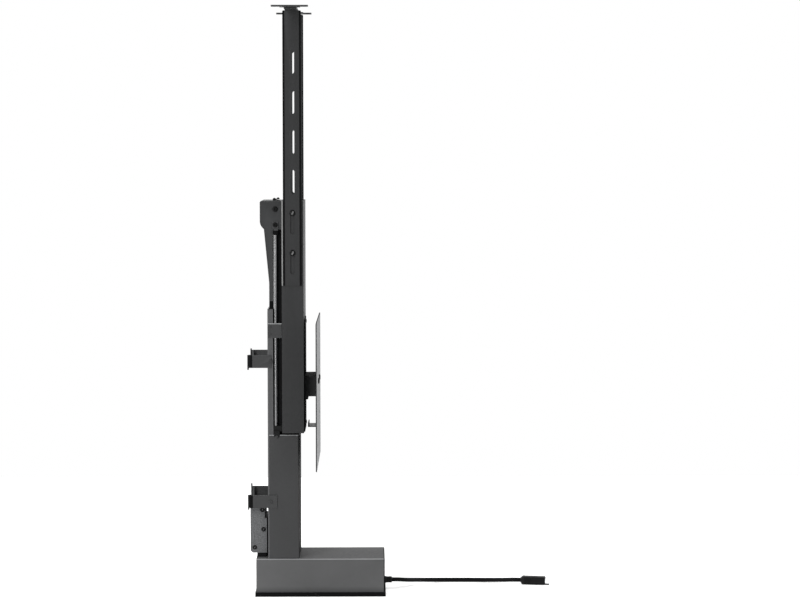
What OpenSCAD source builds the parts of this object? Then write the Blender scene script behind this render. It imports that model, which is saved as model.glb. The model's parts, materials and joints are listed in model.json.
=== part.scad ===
// Motorised lift for a flat screen: a base with a two-stage column, a carriage
// that carries the screen plate, and a pole that carries the cabinet's lid.
// Front is +X, the left side is -Y, the floor is z = 0. It is drawn fully lowered.

/* [Base] */
// Length of the base cover, rear to front
base_l = 256; // [230:1:340]
// Width of the base cover
base_w = 128; // [124:1:180]
// Height of the base's top face above the floor
base_h = 76; // [68:1:100]
// Sheet thickness of the base cover and the bottom plate
base_t = 2; // [1.5:0.1:3]
// Height of the bottom plate's rim
rim_h = 8.5; // [7.5:0.5:14]
// Distance from the base cover's rear face to the pole's rear edge
base_overhang = 56; // [52:1:64]
// Thickness of the plate that closes the base's front end
end_plate_t = 2; // [1:0.5:4]
// Radius of the base cover's long top edges
base_edge_r = 3; // [2:0.5:5]

/* [Column] */
// Outer width of the rear upright
col_w = 118; // [112:1:124]
// Sheet thickness of the rear upright
col_t = 2.5; // [1.5:0.1:3]
// Depth of the upright's side flanges
col_flange = 11; // [9:0.5:12]
// Distance from the upright's rear face to the pole's rear edge
col_back = 32; // [31:0.5:34]
// Height of the upright's top above the base
col_h = 498; // [470:1:540]
// Thickness of the foot plate under the column
foot_t = 3; // [2:0.5:5]
// Height of the front cover above the base
cover_h = 248; // [220:1:262]
// Sheet thickness of the front cover
cover_t = 1.6; // [1:0.1:2.5]
// Outer radius of the front cover's bends
cover_r = 3; // [2.5:0.5:6]
// Distance from the pole's rear edge to the cover's front face
cover_front = 30; // [28:0.5:34]

/* [Inner stage] */
// Inset of the inner stage's side from the column's side
stage_inset = 8; // [7:0.5:10]
// Sheet thickness of the inner stage
stage_t = 2.5; // [1.5:0.1:3]
// Play between the upright's web and the inner stage
stage_play = 1; // [0.5:0.1:1.5]
// Distance from the pole's rear edge to the inner stage's front edge
stage_front = 22; // [20:0.5:23]
// Height of the inner stage's lower end above the base
stage_lift = 28; // [27:0.5:34]
// Height of the lowered column above the floor
lowered_h = 788; // [776:1:830]
// Thickness of the top bracket's sheet
bracket_t = 2; // [1.5:0.1:3]
// Height of the top bracket's box
bracket_h = 56; // [50:1:66]
// Distance that the top bracket reaches behind the pole's rear edge
bracket_back = 46.5; // [42:0.5:50]
// Radius of the bracket's round lower rear corner
bracket_low_r = 20; // [12:1:24]

/* [Carriage] */
// Space for a slide on each side, from the inner stage to the carriage's outside
rail_space = 16; // [15:0.5:24]
// Sheet thickness of the carriage
carriage_t = 2.5; // [1.5:0.1:3]
// Distance that the carriage reaches behind the pole's rear edge
carriage_back = 3; // [2:0.5:3.5]
// Distance from the pole's rear edge to the carriage's front face
carriage_front = 40; // [39:0.5:50]
// Gap between the front cover and the carriage
carriage_gap = 4; // [3:0.5:12]
// Width of the carriage's side rails, rear to front
rail_w = 24; // [20:0.5:24]
// Length of a slider in those rails
slider_l = 40; // [30:1:50]
// Head diameter of the pole's screws
pole_head_d = 11.5; // [9:0.5:14]

/* [Travel] */
// Travel of the inner stage, and of the carriage on it
stage_travel = 380; // [300:1:385]
// Travel of the lid pole in its slots
lid_travel = 38; // [20:1:38]

/* [Lid pole] */
// Depth of a pole leg, rear to front
leg_d = 36.5; // [32:0.5:39]
// Thickness of a pole leg
leg_t = 2.5; // [2:0.1:4]
// Length of a pole leg
leg_l = 539; // [500:1:600]
// Length of the pole leg beside the carriage
leg_overlap = 167; // [150:1:176]
// Number of slots in a pole leg
slot_count = 6; // [3:1:6]
// Distance between the slots
slot_pitch = 78.6; // [70:0.2:80]
// Width of a slot
slot_w = 8.4; // [7:0.1:10]
// Distance of the lowest slot's centre from the leg's lower end
slot_start = 47; // [36:1:60]
// Distance of the slots from the leg's rear edge
slot_x = 18.6; // [14:0.2:20]

/* [Lid plate] */
// Length of a lid strip, rear to front
lid_l = 72; // [60:1:120]
// Overall width of the lid plate
lid_w = 252; // [230:1:320]
// Width of a lid strip
strip_w = 14; // [12:1:24]
// Width of the cross plate's ends, rear to front
cross_w = 40; // [36:1:60]
// Length of the cross plate's wide ends, along its width
cross_end = 20; // [12:1:30]
// Thickness of the lid plate and of the flanges below it
lid_t = 3; // [2:0.1:4]
// Height of the necks below the flanges
neck_h = 1; // [1:0.5:20]
// Width of the necks and of the flanges above them, rear to front
neck_w = 24; // [16:1:30]
// Diameter of the holes in the lid strips
lid_hole_d = 6.5; // [4.5:0.1:7]
// Distance between a lid strip's holes
lid_hole_span = 58; // [44:1:60]

/* [Screen plate] */
// Width of the screen plate
screen_w = 300; // [280:1:420]
// Height of the screen plate
screen_h = 290; // [270:1:420]
// Thickness of the screen plate
screen_t = 2; // [1.5:0.1:4]
// Gap between the front plate and the screen plate
screen_gap = 24; // [20:0.5:40]
// Distance of the screen plate's lower edge below the carriage
screen_drop = 66; // [50:1:90]
// Radius of the screen plate's corners
screen_r = 6; // [4:1:20]
// Width of the front plate on the carriage
front_w = 100; // [96:1:130]
// Height of the front plate on the carriage
front_h = 225; // [210:1:240]
// Thickness of the front plate
front_t = 1.5; // [1:0.1:4]
// Distance between the outer screen holes, both ways
screen_hole_span = 200; // [200:1:200]
// Distance between the inner screen holes, both ways
screen_hole_inner = 100; // [100:1:100]
// Diameter of the screen holes
screen_hole_d = 8.4; // [6.5:0.1:9]

/* [Guide rods] */
// Diameter of a guide rod
rod_d = 7; // [6:0.1:7.2]
// Distance of the guide rods behind the pole's rear edge
rod_back = 16; // [15.5:0.1:16.5]
// Height of the clip round the guide rod
clip_h = 29; // [20:1:40]
// Height of the clip's lower edge below the upright's top
clip_drop = 57; // [50:1:70]
// Width of the angle that holds the rod's top end
rod_angle_w = 12; // [10:0.5:14]
// Height of that angle
rod_angle_h = 15; // [13:0.5:18]

/* [Drive] */
// Distance of the spindle behind the pole's rear edge
spindle_back = 8; // [7:0.5:9]
// Outer diameter of the spindle's thread
spindle_d = 12; // [10:0.5:14]
// Pitch of the spindle's thread as it shows
thread_pitch = 5; // [4:1:8]
// Depth of the thread
thread_depth = 1; // [0.5:0.1:1.2]
// Radius of the spindle's toothed pulley
big_pulley_r = 26; // [24:0.5:27]
// Radius of the motor's toothed pulley
small_pulley_r = 10; // [8:0.5:11]
// Distance between the spindle and the motor shaft
drive_reach = 44; // [42:0.5:45]
// Width of the timing belt
timing_w = 8; // [6:0.5:9]
// Thickness of the timing belt
timing_t = 1.5; // [1:0.1:1.8]
// Outer diameter of the motor
motor_d = 27; // [24:0.5:27.5]
// Length of the motor
motor_l = 46; // [40:1:48]

/* [Gearmotor case] */
// Depth of the case, rear to front
case_d = 32.5; // [32:0.5:33]
// Width of the case
case_w = 90; // [80:1:100]
// Height of the case
case_h = 91; // [88:1:100]
// Wall of the case
case_t = 1.8; // [1.2:0.1:2]
// Height of the pad below the case
pad_h = 9; // [8:0.5:9.5]
// Gap between the case and the upright
case_gap = 3.5; // [2:0.5:6]
// Outer radius of the case's lower rear edge
case_r = 7; // [4:0.5:9]
// Depth of the notch in the case's upper front corner
notch_d = 4; // [2:0.5:4]
// Height of that notch
notch_h = 22; // [10:1:24]
// Head diameter of the case's screws
case_head_d = 9; // [6:0.5:9.5]

/* [Lifting belts] */
// Distance of a belt from the middle of the column
strap_y = 25; // [23:0.5:28]
// Width of a lifting belt
strap_w = 12; // [8:0.5:13]
// Thickness of a lifting belt
strap_t = 1.5; // [1:0.1:1.6]
// Radius of the pulleys' running face
pulley_r = 7.5; // [6.5:0.1:7.6]
// Diameter of the pulleys' axle
axle_d = 8; // [6:0.5:8.5]
// Height of the axle below the lowered column's top
axle_drop = 16.5; // [15:0.5:26]
// Height of the belts' fixed anchor below the upright's top
anchor_drop = 34; // [30:1:40]

/* [Wall hooks] */
// Height of a hook arm
hook_h = 25; // [20:1:30]
// Thickness of a hook arm
hook_t = 2.5; // [2:0.1:3.5]
// Distance that the hooks reach behind the pole's rear edge
hook_back = 72; // [71:1:100]
// Radius of the hooks' curled ends
curl_r = 7; // [5:0.5:9]
// Height of the upper hooks' middle above the base
upper_hook_z = 394; // [380:1:420]
// Height of the lower hooks' middle above the base
lower_hook_z = 114.5; // [113:0.5:140]

/* [Cord] */
// Diameter of the cord
cord_d = 8.8; // [5:0.1:10]
// Length of the gland outside the base
gland_l = 15; // [10:1:30]
// Length of the connector's body
connector_l = 51; // [40:1:60]
// Height of the connector's body
connector_h = 16.6; // [14:0.2:20]

/* [Electronics] */
// Length of the control board
board_l = 90; // [84:1:100]
// Width of the control board
board_w = 60; // [54:1:70]
// Thickness of the control board
board_t = 1.6; // [1:0.1:2.4]
// Height of the board's pillars
pillar_h = 12; // [8:1:16]
// Length of the power supply
supply_l = 85; // [70:1:95]
// Width of the power supply
supply_w = 100; // [80:1:110]
// Height of the power supply
supply_h = 42; // [30:1:44]

/* [Hidden] */

$fn = 48;
// Reach of a cutting tool past the face that it cuts
cut = 1;
// Radial play of a shaft in its bore
running_play = 0.05;
// Gap between a glide and what it slides on
glide_play = 0.3;

// Rear and front faces of the base cover, and the room between its walls
base_rear = -base_overhang;
base_front = base_rear + base_l;
rim_out = base_t;
hook_rear = -hook_back;
base_screw_x = 63;
base_screw_z = rim_h / 2;
// The origin is the middle of the footprint, from the hooks' ends to the bottom plate's front
origin_x = (hook_rear + base_front + rim_out) / 2;

// Column
col_rear = -col_back;
flange_front = col_rear + col_flange;
col_side = col_w / 2;
col_inner = col_side - col_t;
col_top = base_h + col_h;
cover_rear = col_rear + 2.5;
cover_top = base_h + cover_h;
cover_side = col_side + cover_t;

// Inner stage
stage_w = col_w - 2 * stage_inset;
stage_rear = col_rear + col_t + stage_play;
stage_side = stage_w / 2;
stage_bottom = base_h + stage_lift;
stage_top = lowered_h - bracket_t;
bracket_z = lowered_h - bracket_h;
bracket_side = stage_side + bracket_t;
bracket_front = -2.6;
bracket_r = 4;
gusset_z = bracket_z - 106;
gusset_end = col_top + 16;
glide_h = 36;

// Carriage
carriage_w = stage_w + 2 * rail_space;
carriage_side = carriage_w / 2;
carriage_inner = carriage_side - carriage_t;
carriage_z = cover_top + carriage_gap;
carriage_l = lowered_h - carriage_z;
rail_d = carriage_inner - stage_side - 1;
rail_t = 2;
rail_mid = -carriage_back + 1 + rail_w / 2;
rail_mouth = rail_w - 12;

// Lid pole and lid plate
leg_z = lowered_h - leg_overlap;
leg_top = leg_z + leg_l;
leg_side = carriage_side + leg_t;
slot_l = slot_w + lid_travel + 1.6;
neck_x = leg_d / 2 - 1.5;
flange_z = leg_top + neck_h;
lid_z = flange_z + lid_t;
strip_y = lid_w / 2 - strip_w / 2;
lid_x = cross_w / 2 - 4;
pole_screw_d = 6;
pole_screw_rise = slot_l / 2 - slot_w / 2 - 2.3;
pole_screw_z = [for (i = [0, 1]) leg_z + slot_start + i * slot_pitch + pole_screw_rise];

// Screen plate
front_x = carriage_front + front_t;
screen_x = front_x + screen_gap;
screen_z = carriage_z - screen_drop;
screen_mid = screen_z + screen_h / 2;
screen_patterns = [[screen_hole_span, screen_hole_span], [screen_hole_span, screen_hole_inner],
    [screen_hole_inner, screen_hole_inner]];
block_z = carriage_z + 71;
block_h = 40;
block_w = 90;
ledge_z = carriage_z + 7;
post_y = block_w / 2 - 9;
post_screw_z = block_z + 30;
post_screw_l = 14;
front_screw_y = front_w / 2 - 10;
front_screw_z = [carriage_z + 10, carriage_z + front_h - 10];

// Guide rods
rod_x = -rod_back;
rod_y = (col_side + stage_side) / 2;
rod_bottom = stage_bottom - 4;
rod_top = bracket_z;
rod_seat = 2.5;
rod_angle_t = 2;
rod_seat_w = rod_angle_w - 3;
rod_screw_z = rod_top + 8.5;
clip_z = col_top - clip_drop;
clip_front = -4;
clip_t = 2;
clip_screw_d = 3;
clip_screw_z = [clip_z + 7, clip_z + clip_h - 7];
guide_screw_z = cover_top - 4;
guide_screw_x = rod_x + 2;
guide_lug_t = 2;
guide_w = (rod_x - flange_front) * 2 - 0.6;

// Drive
spindle_x = -spindle_back;
spindle_top = stage_bottom + stage_travel + 30;
journal_d = 8;
motor_x = spindle_x - drive_reach;
pulley_z = base_h + pad_h + case_t + 2.7;
pulley_h = timing_w + 1;
foot_z = base_h + foot_t;
nut_r = 11;

// Gearmotor case
case_front = col_rear - case_gap;
case_rear = case_front - case_d;
case_z = base_h + pad_h;
case_side = case_w / 2;
case_screws = [[case_front - notch_d - case_head_d / 2 - 0.3, case_z + case_h - 4.5],
    [case_front - 6.5, case_z + case_h * 0.52], [case_rear + 8.5, case_z + 11]];

// Lifting belts
axle_x = -16;
axle_z = lowered_h - axle_drop;
axle_screw_d = 4;
axle_screw_l = 10;
strap_in = pulley_r + glide_play;
strap_out = strap_in + strap_t;
anchor_z = col_top - anchor_drop;
anchor_h = 20;
// Height of a rear belt's lower end above the anchor's lower face
strap_seat = 4;
crossbar_z = carriage_z + 9;
crossbar_t = 6;
slot_low = anchor_z - stage_travel - 10;
slot_high = anchor_z + anchor_h + 10;

// Hooks
hook_seat = [col_side, cover_side];
hook_hole_x = col_rear + 6;
hook_hole_z = [base_h + upper_hook_z, base_h + lower_hook_z];
hook_bolt_d = 5;
// Height of the tooth on top of each right hook's end, upper and lower
hook_upstand = [3, 6];

// Cord: the gland's place, and the cord's route in the object's own frame
gland_y = 20;
gland_z = 17.3;
gland_d = 14;
gland_x = base_front;
cord_start = gland_x + gland_l - origin_x;
cord_route = [[cord_start, gland_y, gland_z], [154, 20, 17.3], [163, 21.5, 16.9], [175, 27.6, 15.1],
    [188, 38, 12.7], [201, 49.5, 10.4], [215, 60.5, 8.1], [230, 69.5, 6.2], [246, 75.5, 5],
    [264, 78, 4.5], [284, 78, 4.5], [306, 77.5, 4.5], [328, 76, 4.6], [348, 73, 5], [366, 69, 5.8],
    [382, 64.5, 6.8], [395, 60.5, 7.8], [405, 58, 8.3], [414, 56.5, 8.3]];
cord_end = cord_route[len(cord_route) - 1];
cord_last = cord_end - cord_route[len(cord_route) - 2];
connector_turn = atan2(cord_last[1], cord_last[0]);

// Moves a solid from the column's reference line into the object's own frame
module place() {
    translate([-origin_x, 0, 0]) children();
}

// Draws something on the left side and again on the right side
module both_sides() {
    children();
    mirror([0, 1, 0]) children();
}

// Turns an outline drawn in x and z into a plate from y to y + t on the left side
module left_plate(y, t) {
    translate([0, -y, 0]) rotate([90, 0, 0]) linear_extrude(t) children();
}

// A block between two corners
module block(low, high) {
    translate(low) cube(high - low);
}

// A round bar along y, centred on y = 0
module bar_y(d, l) {
    rotate([90, 0, 0]) cylinder(d = d, h = l, center = true);
}

// A round bar along x that starts at x = 0
module bar_x(d, l) {
    rotate([0, 90, 0]) cylinder(d = d, h = l);
}

// A rectangle with round corners, centred
module rounded(w, h, r) {
    square([w - 2 * r, h], center = true);
    square([w, h - 2 * r], center = true);
    for (x = [-1, 1], y = [-1, 1]) translate([x * (w / 2 - r), y * (h / 2 - r)]) circle(r);
}

// The outline of a slot that runs upwards, centred
module slot_outline(w, l) {
    square([w, l - w], center = true);
    for (s = [-1, 1]) translate([0, s * (l - w) / 2]) circle(d = w);
}

// A screw whose head lies on y = 0 and points to the left, with its shank inwards
module side_screw(head_d, head_h, shank_d, shank_l) {
    difference() {
        rotate([90, 0, 0]) cylinder(d = head_d, h = head_h);
        translate([0, -head_h / 2, 0]) rotate([90, 0, 0]) cylinder(d = head_d * 0.45, h = head_h);
    }
    rotate([-90, 0, 0]) cylinder(d = shank_d, h = shank_l);
}

// The same screw with its head pointing forwards
module front_screw(head_d, head_h, shank_d, shank_l) {
    rotate([0, 0, 90]) side_screw(head_d, head_h, shank_d, shank_l);
}

module bottom_plate() {
    out = rim_out;
    color("#26282b") place() difference() {
        block([base_rear - out, -base_w / 2 - out, 0], [base_front + out, base_w / 2 + out, rim_h]);
        block([base_rear, -base_w / 2, base_t], [base_front, base_w / 2, rim_h + cut]);
        for (s = [-1, 1]) translate([base_screw_x, s * base_w / 2, base_screw_z]) bar_y(3.2, 3 * out);
    }
}

// The cover's outline across the base: an upside-down channel with round top edges
module base_outline(side, top, r) {
    difference() {
        union() {
            translate([-side, 0]) square([2 * side, top - r]);
            translate([-side + r, 0]) square([2 * (side - r), top]);
            for (s = [-1, 1]) translate([s * (side - r), top - r]) circle(r);
        }
        translate([-side - cut, -cut]) square([2 * (side + cut), cut]);
    }
}

module base_cover() {
    wall_l = base_l - end_plate_t;
    color("#4a4c4f") place() difference() {
        translate([base_rear, 0, base_t]) rotate([90, 0, 90]) linear_extrude(wall_l)
            base_outline(base_w / 2, base_h - base_t, base_edge_r);
        translate([base_rear + base_t, 0, base_t - cut]) rotate([90, 0, 90]) linear_extrude(wall_l)
            base_outline(base_w / 2 - base_t, base_h - base_t - base_t + cut, base_edge_r - 1);
        translate([spindle_x, 0, base_h / 2]) cylinder(d = 16, h = base_h);
        for (s = [-1, 1]) translate([base_screw_x, s * base_w / 2, base_screw_z]) bar_y(3.2, 5 * base_t);
    }
}

module base_end_plate() {
    color("#2b2d30") place() difference() {
        translate([base_front - end_plate_t, 0, base_t]) rotate([90, 0, 90]) linear_extrude(end_plate_t)
            base_outline(base_w / 2, base_h - base_t, base_edge_r);
        translate([base_front - end_plate_t - cut, gland_y, gland_z])
            bar_x(gland_d - 2, end_plate_t + 2 * cut);
    }
}

module base_screws() {
    color("#1b1c1e") place() both_sides()
        translate([base_screw_x, -base_w / 2 - rim_out, base_screw_z])
            side_screw(5.5, 1.4, 3, 2 * base_t + 2);
}

module column_foot() {
    color("#242628") place() difference() {
        block([flange_front - 3, -col_inner, base_h], [cover_front - cover_t, col_inner, foot_z]);
        translate([spindle_x, 0, base_h - cut]) cylinder(d = 12, h = foot_t + 2 * cut);
        for (x = [-12, 14], s = [-1, 1]) translate([x, s * 40, base_h - cut])
            cylinder(d = 6.5, h = foot_t + 2 * cut);
    }
}

// The upright's outline: a channel that opens forwards
module upright_outline() {
    difference() {
        translate([col_rear, -col_side]) square([col_flange, col_w]);
        translate([col_rear + col_t, -col_inner]) square([col_flange, 2 * col_inner]);
    }
}

module rear_upright() {
    chamfer = 5;
    color("#2b2c2e") place() difference() {
        translate([0, 0, base_h]) linear_extrude(col_h) upright_outline();
        block([col_rear - cut, -big_pulley_r - 6, case_z],
            [col_rear + col_t + cut, big_pulley_r + 6, pulley_z + pulley_h + 6]);
        both_sides() left_plate(col_inner - cut, col_t + 2 * cut)
            polygon([[col_rear - cut, col_top + cut], [col_rear + chamfer, col_top + cut],
                [col_rear - cut, col_top - chamfer - cut]]);
        for (z = hook_hole_z, s = [-1, 1]) translate([hook_hole_x, s * col_side, z])
            bar_y(hook_bolt_d + 0.2, 4 * col_t);
        for (z = clip_screw_z, s = [-1, 1]) translate([hook_hole_x, s * col_side, z])
            bar_y(clip_screw_d + 0.2, 4 * col_t);
    }
}

// The front cover's outline, seen from above, with round front corners
module cover_outline(front, side, r) {
    translate([cover_rear, -side]) square([front - r - cover_rear, 2 * side]);
    translate([cover_rear, -side + r]) square([front - cover_rear, 2 * (side - r)]);
    for (s = [-1, 1]) translate([front - r, s * (side - r)]) circle(r);
}

module column_cover() {
    color("#303134") place() difference() {
        translate([0, 0, base_h]) linear_extrude(cover_h) difference() {
            cover_outline(cover_front, cover_side, cover_r);
            translate([-cut, 0]) cover_outline(cover_front - cover_t + cut, col_side, cover_r - cover_t);
        }
        for (s = [-1, 1]) {
            translate([guide_screw_x, s * col_side, guide_screw_z]) bar_y(3.2, 4 * cover_t);
            translate([hook_hole_x, s * col_side, hook_hole_z[1]]) bar_y(hook_bolt_d + 0.2, 6 * cover_t);
        }
    }
}

// Glides fixed in the upright's top and behind the cover's front wall
module column_glides() {
    rear_in = stage_side + glide_play;
    front_in = stage_front + glide_play;
    color("#d8d6cf") place() both_sides() {
        block([col_rear + col_t, -col_inner, col_top - 38], [flange_front - 0.5, -rear_in, col_top - 3]);
        block([front_in, -stage_side, cover_top - 41],
            [cover_front - cover_t, -stage_side + 12, cover_top - 6]);
    }
}

// A plate on the upright's side with a bush behind it, round the guide rod
module rod_clips() {
    bush_h = clip_h - 6;
    color("#34363a") place() both_sides() difference() {
        union() {
            block([col_rear + 1, -col_side - clip_t, clip_z], [clip_front, -col_side, clip_z + clip_h]);
            block([rod_x - guide_w / 2, -col_side, clip_z + 3],
                [rod_x + guide_w / 2, -stage_side - 0.6, clip_z + 3 + bush_h]);
        }
        translate([rod_x, -rod_y, clip_z - cut])
            cylinder(d = rod_d + 2 * running_play, h = clip_h + 2 * cut);
        for (z = clip_screw_z) translate([hook_hole_x, -col_side, z]) bar_y(clip_screw_d + 0.2, 4 * clip_t);
    }
}

module rod_guide_blocks() {
    low = cover_top - 14;
    top = cover_top + 18;
    color("#1f2022") place() both_sides() difference() {
        union() {
            block([rod_x - guide_w / 2, -col_side, low],
                [rod_x + guide_w / 2 + 2, -stage_side - 0.6, top]);
            block([rod_x - guide_w / 2, -col_side, top - 11],
                [-carriage_back - 0.6, -stage_side - 0.6, top]);
            block([guide_screw_x - 5.5, -cover_side - guide_lug_t, cover_top + 0.3],
                [guide_screw_x + 5.5, -col_side, cover_top + 8]);
            left_plate(cover_side, guide_lug_t) translate([guide_screw_x, cover_top]) union() {
                circle(d = 11);
                translate([-5.5, 0]) square([11, 4]);
            }
        }
        translate([rod_x, -rod_y, low - cut])
            cylinder(d = rod_d + 2 * running_play, h = top - low + 2 * cut);
        translate([guide_screw_x, -cover_side, guide_screw_z]) bar_y(3.2, 4 * guide_lug_t);
    }
}

module clip_screws() {
    color("#17181a") place() both_sides() {
        for (z = clip_screw_z)
            translate([hook_hole_x, -col_side - clip_t, z]) side_screw(5, 0.8, clip_screw_d, clip_t + col_t);
        translate([guide_screw_x, -cover_side - guide_lug_t, guide_screw_z])
            side_screw(6, 1.2, 3, guide_lug_t + cover_t);
    }
}

// The case's side outline, with a round lower rear corner and a notch at the upper front one
module case_outline(inset) {
    x0 = case_rear + inset;
    x1 = case_front - inset;
    z0 = case_z + inset;
    z1 = case_z + case_h - inset;
    r = case_r - inset;
    difference() {
        union() {
            translate([x0, z0 + r]) square([x1 - x0, z1 - z0 - r]);
            translate([x0 + r, z0]) square([x1 - x0 - r, z1 - z0]);
            translate([x0 + r, z0 + r]) circle(r);
        }
        translate([x1 - notch_d, z1 - notch_h]) square([notch_d + cut, notch_h + cut]);
    }
}

module gearmotor_case() {
    color("#5d5f62") place() difference() {
        union() {
            translate([0, case_side, 0]) rotate([90, 0, 0]) linear_extrude(case_w - case_t) case_outline(0);
            block([case_front, -20, case_z + 16], [col_rear, 20, case_z + 66]);
        }
        translate([0, case_side - case_t, 0]) rotate([90, 0, 0]) linear_extrude(case_w) case_outline(case_t);
        block([case_front - case_t - cut, -big_pulley_r - 3, pulley_z - 1],
            [case_front + cut, big_pulley_r + 3, pulley_z + pulley_h + 1]);
    }
}

module gearmotor_side_cover() {
    color("#66686b") place() difference() {
        left_plate(case_side - case_t, case_t) case_outline(0);
        for (p = case_screws) translate([p[0], -case_side, p[1]]) bar_y(3.4, 5 * case_t);
    }
}

module gearmotor_screws() {
    color("#9a9c9f") place() for (p = case_screws)
        translate([p[0], -case_side, p[1]]) side_screw(case_head_d, 2.2, 3.2, case_t);
}

module gearmotor_pad() {
    color("#141517") place()
        block([case_rear + 13, -case_side + 4, base_h], [case_front - 1, case_side - 4, case_z]);
}

module motor() {
    low = pulley_z + pulley_h + 4;
    color("#8b8d90") place() translate([motor_x, 0, 0]) difference() {
        union() {
            translate([0, 0, low]) cylinder(d = motor_d, h = motor_l - 8);
            translate([0, 0, low + motor_l - 8]) cylinder(d = motor_d - 4, h = 8);
            translate([0, 0, low - 2]) cylinder(d = 12, h = 2);
            block([-motor_d / 2, -case_side + 2 * case_t, low + 12],
                [motor_d / 2, case_side - case_t, low + 15]);
        }
        translate([0, 0, low - 2 - cut]) cylinder(d = 5 + 2 * running_play, h = 22 + cut);
    }
}

module motor_shaft() {
    low = pulley_z + pulley_h + 4;
    color("#b9bbbe") place() translate([motor_x, 0, 0]) {
        translate([0, 0, pulley_z - 1]) cylinder(d = 5, h = low + 18 - pulley_z);
        translate([0, 0, pulley_z]) cylinder(r = small_pulley_r, h = pulley_h);
    }
}

// The belt's outline round both toothed pulleys, grown by the gap or the belt's thickness
module timing_outline(grow) {
    hull() {
        translate([motor_x, 0]) circle(small_pulley_r + grow);
        translate([spindle_x, 0]) circle(big_pulley_r + grow);
    }
}

module timing_belt() {
    color("#101112") place() translate([0, 0, pulley_z + 0.5]) linear_extrude(timing_w) difference() {
        timing_outline(glide_play + timing_t);
        timing_outline(glide_play);
    }
}

// One turn of the thread's outline repeats up the spindle
module spindle() {
    r = spindle_d / 2;
    root = r - thread_depth;
    low = pulley_z + pulley_h;
    turns = floor((spindle_top - low - 10) / thread_pitch);
    flank = thread_pitch / 4;
    tooth = [for (i = [0:turns - 1], p = [[root, 0], [root, 1], [r, 2], [r, 3]])
        [p[0], low + 5 + i * thread_pitch + p[1] * flank]];
    color("#c9cbcd") place() translate([spindle_x, 0, 0]) rotate_extrude()
        polygon(concat([[0, base_h - 8], [journal_d / 2, base_h - 8], [journal_d / 2, low], [r, low],
            [r, low + 4]], tooth, [[root, spindle_top - 4], [root - 1, spindle_top], [0, spindle_top]]));
}

module spindle_pulley() {
    color("#2d2f31") place() translate([spindle_x, 0, pulley_z]) difference() {
        cylinder(r = big_pulley_r, h = pulley_h);
        translate([0, 0, -cut]) cylinder(d = journal_d, h = pulley_h + 2 * cut);
        for (a = [0:60:300]) rotate(a) translate([big_pulley_r * 0.6, 0, -cut])
            cylinder(d = 8, h = pulley_h + 2 * cut);
    }
}

module spindle_bearing() {
    h = pulley_z - foot_z - 0.5;
    color("#a6a8ab") place() translate([spindle_x, 0, foot_z]) difference() {
        union() {
            cylinder(d = 30, h = 3);
            cylinder(d = 18, h = h);
        }
        translate([0, 0, -cut]) cylinder(d = journal_d + 2 * running_play, h = h + 2 * cut);
    }
}

// The belts' fixed ends: a block behind each belt and a clamp plate in front of it
module belt_anchors() {
    back = axle_x - strap_out;
    half = strap_w / 2;
    color("#3a3c3f") place() both_sides() difference() {
        block([col_rear + col_t, -strap_y - half - 2, anchor_z],
            [back + strap_t + 2.5, -strap_y + half + 2, anchor_z + anchor_h]);
        block([back, -strap_y - half, anchor_z + strap_seat],
            [back + strap_t, -strap_y + half, anchor_z + anchor_h + cut]);
    }
}

// A hook arm on the left side: a flat arm, a curl that turns inwards and a tooth below
module hook_arm(inner, front, z, upstand) {
    curl_x = hook_rear + curl_r;
    low = z - hook_h / 2;
    difference() {
        union() {
            block([curl_x, -inner - hook_t, low], [front, -inner, low + hook_h]);
            translate([curl_x, -inner - hook_t + curl_r, low]) intersection() {
                difference() {
                    cylinder(r = curl_r, h = hook_h);
                    translate([0, 0, -cut]) cylinder(r = curl_r - hook_t, h = hook_h + 2 * cut);
                }
                block([-curl_r - cut, -curl_r - cut, -cut], [0, curl_r + cut, hook_h + cut]);
            }
            block([hook_rear, -inner - hook_t + curl_r - 4, low - 4],
                [hook_rear + hook_t, -inner - hook_t + curl_r + 4, low + hook_h + upstand]);
        }
        translate([hook_hole_x, -inner, z]) bar_y(hook_bolt_d + 0.2, 4 * hook_t);
    }
}

module upper_hook_left() {
    color("#2b2c2e") place() hook_arm(col_side, -25, hook_hole_z[0], 0);
}

module upper_hook_right() {
    color("#2b2c2e") place() mirror([0, 1, 0]) hook_arm(col_side, -25, hook_hole_z[0], hook_upstand[0]);
}

module lower_hook_left() {
    color("#2b2c2e") place() hook_arm(cover_side, -14, hook_hole_z[1], 0);
}

module lower_hook_right() {
    color("#2b2c2e") place() mirror([0, 1, 0]) hook_arm(cover_side, -14, hook_hole_z[1], hook_upstand[1]);
}

module hook_bolts() {
    color("#1b1c1e") place() both_sides() for (i = [0, 1])
        translate([hook_hole_x, -hook_seat[i] - hook_t, hook_hole_z[i]])
            side_screw(8, 1.4, hook_bolt_d, hook_t + hook_seat[i] - col_inner);
}

module circuit_board() {
    x0 = 60;
    y0 = 15 - board_w;
    low = base_t + pillar_h;
    top = low + board_t;
    color("#1f5a34") place() {
        block([x0, y0, low], [x0 + board_l, y0 + board_w, top]);
        for (x = [x0 + 6, x0 + board_l - 6], y = [y0 + 6, y0 + board_w - 6])
            translate([x, y, base_t]) cylinder(d = 6, h = pillar_h);
        for (i = [0:2]) translate([x0 + 20 + i * 16, y0 + 15, top]) cylinder(d = 12, h = 20);
        block([x0 + 62, y0 + 7, top], [x0 + 82, y0 + 33, top + 14]);
        block([x0 + 8, y0 + board_w - 19, top], [x0 + board_l - 10, y0 + board_w - 7, top + 10]);
    }
}

module power_supply() {
    x0 = -40;
    ear_l = 10;
    ear_t = 2;
    color("#7d7f82") place() {
        block([x0, -supply_w / 2, base_t], [x0 + supply_l, supply_w / 2, base_t + supply_h]);
        both_sides() block([x0 - ear_l, -supply_w / 2, base_t],
            [x0 + supply_l + ear_l, -supply_w / 2 + ear_t, base_t + supply_h / 3]);
    }
}

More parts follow.
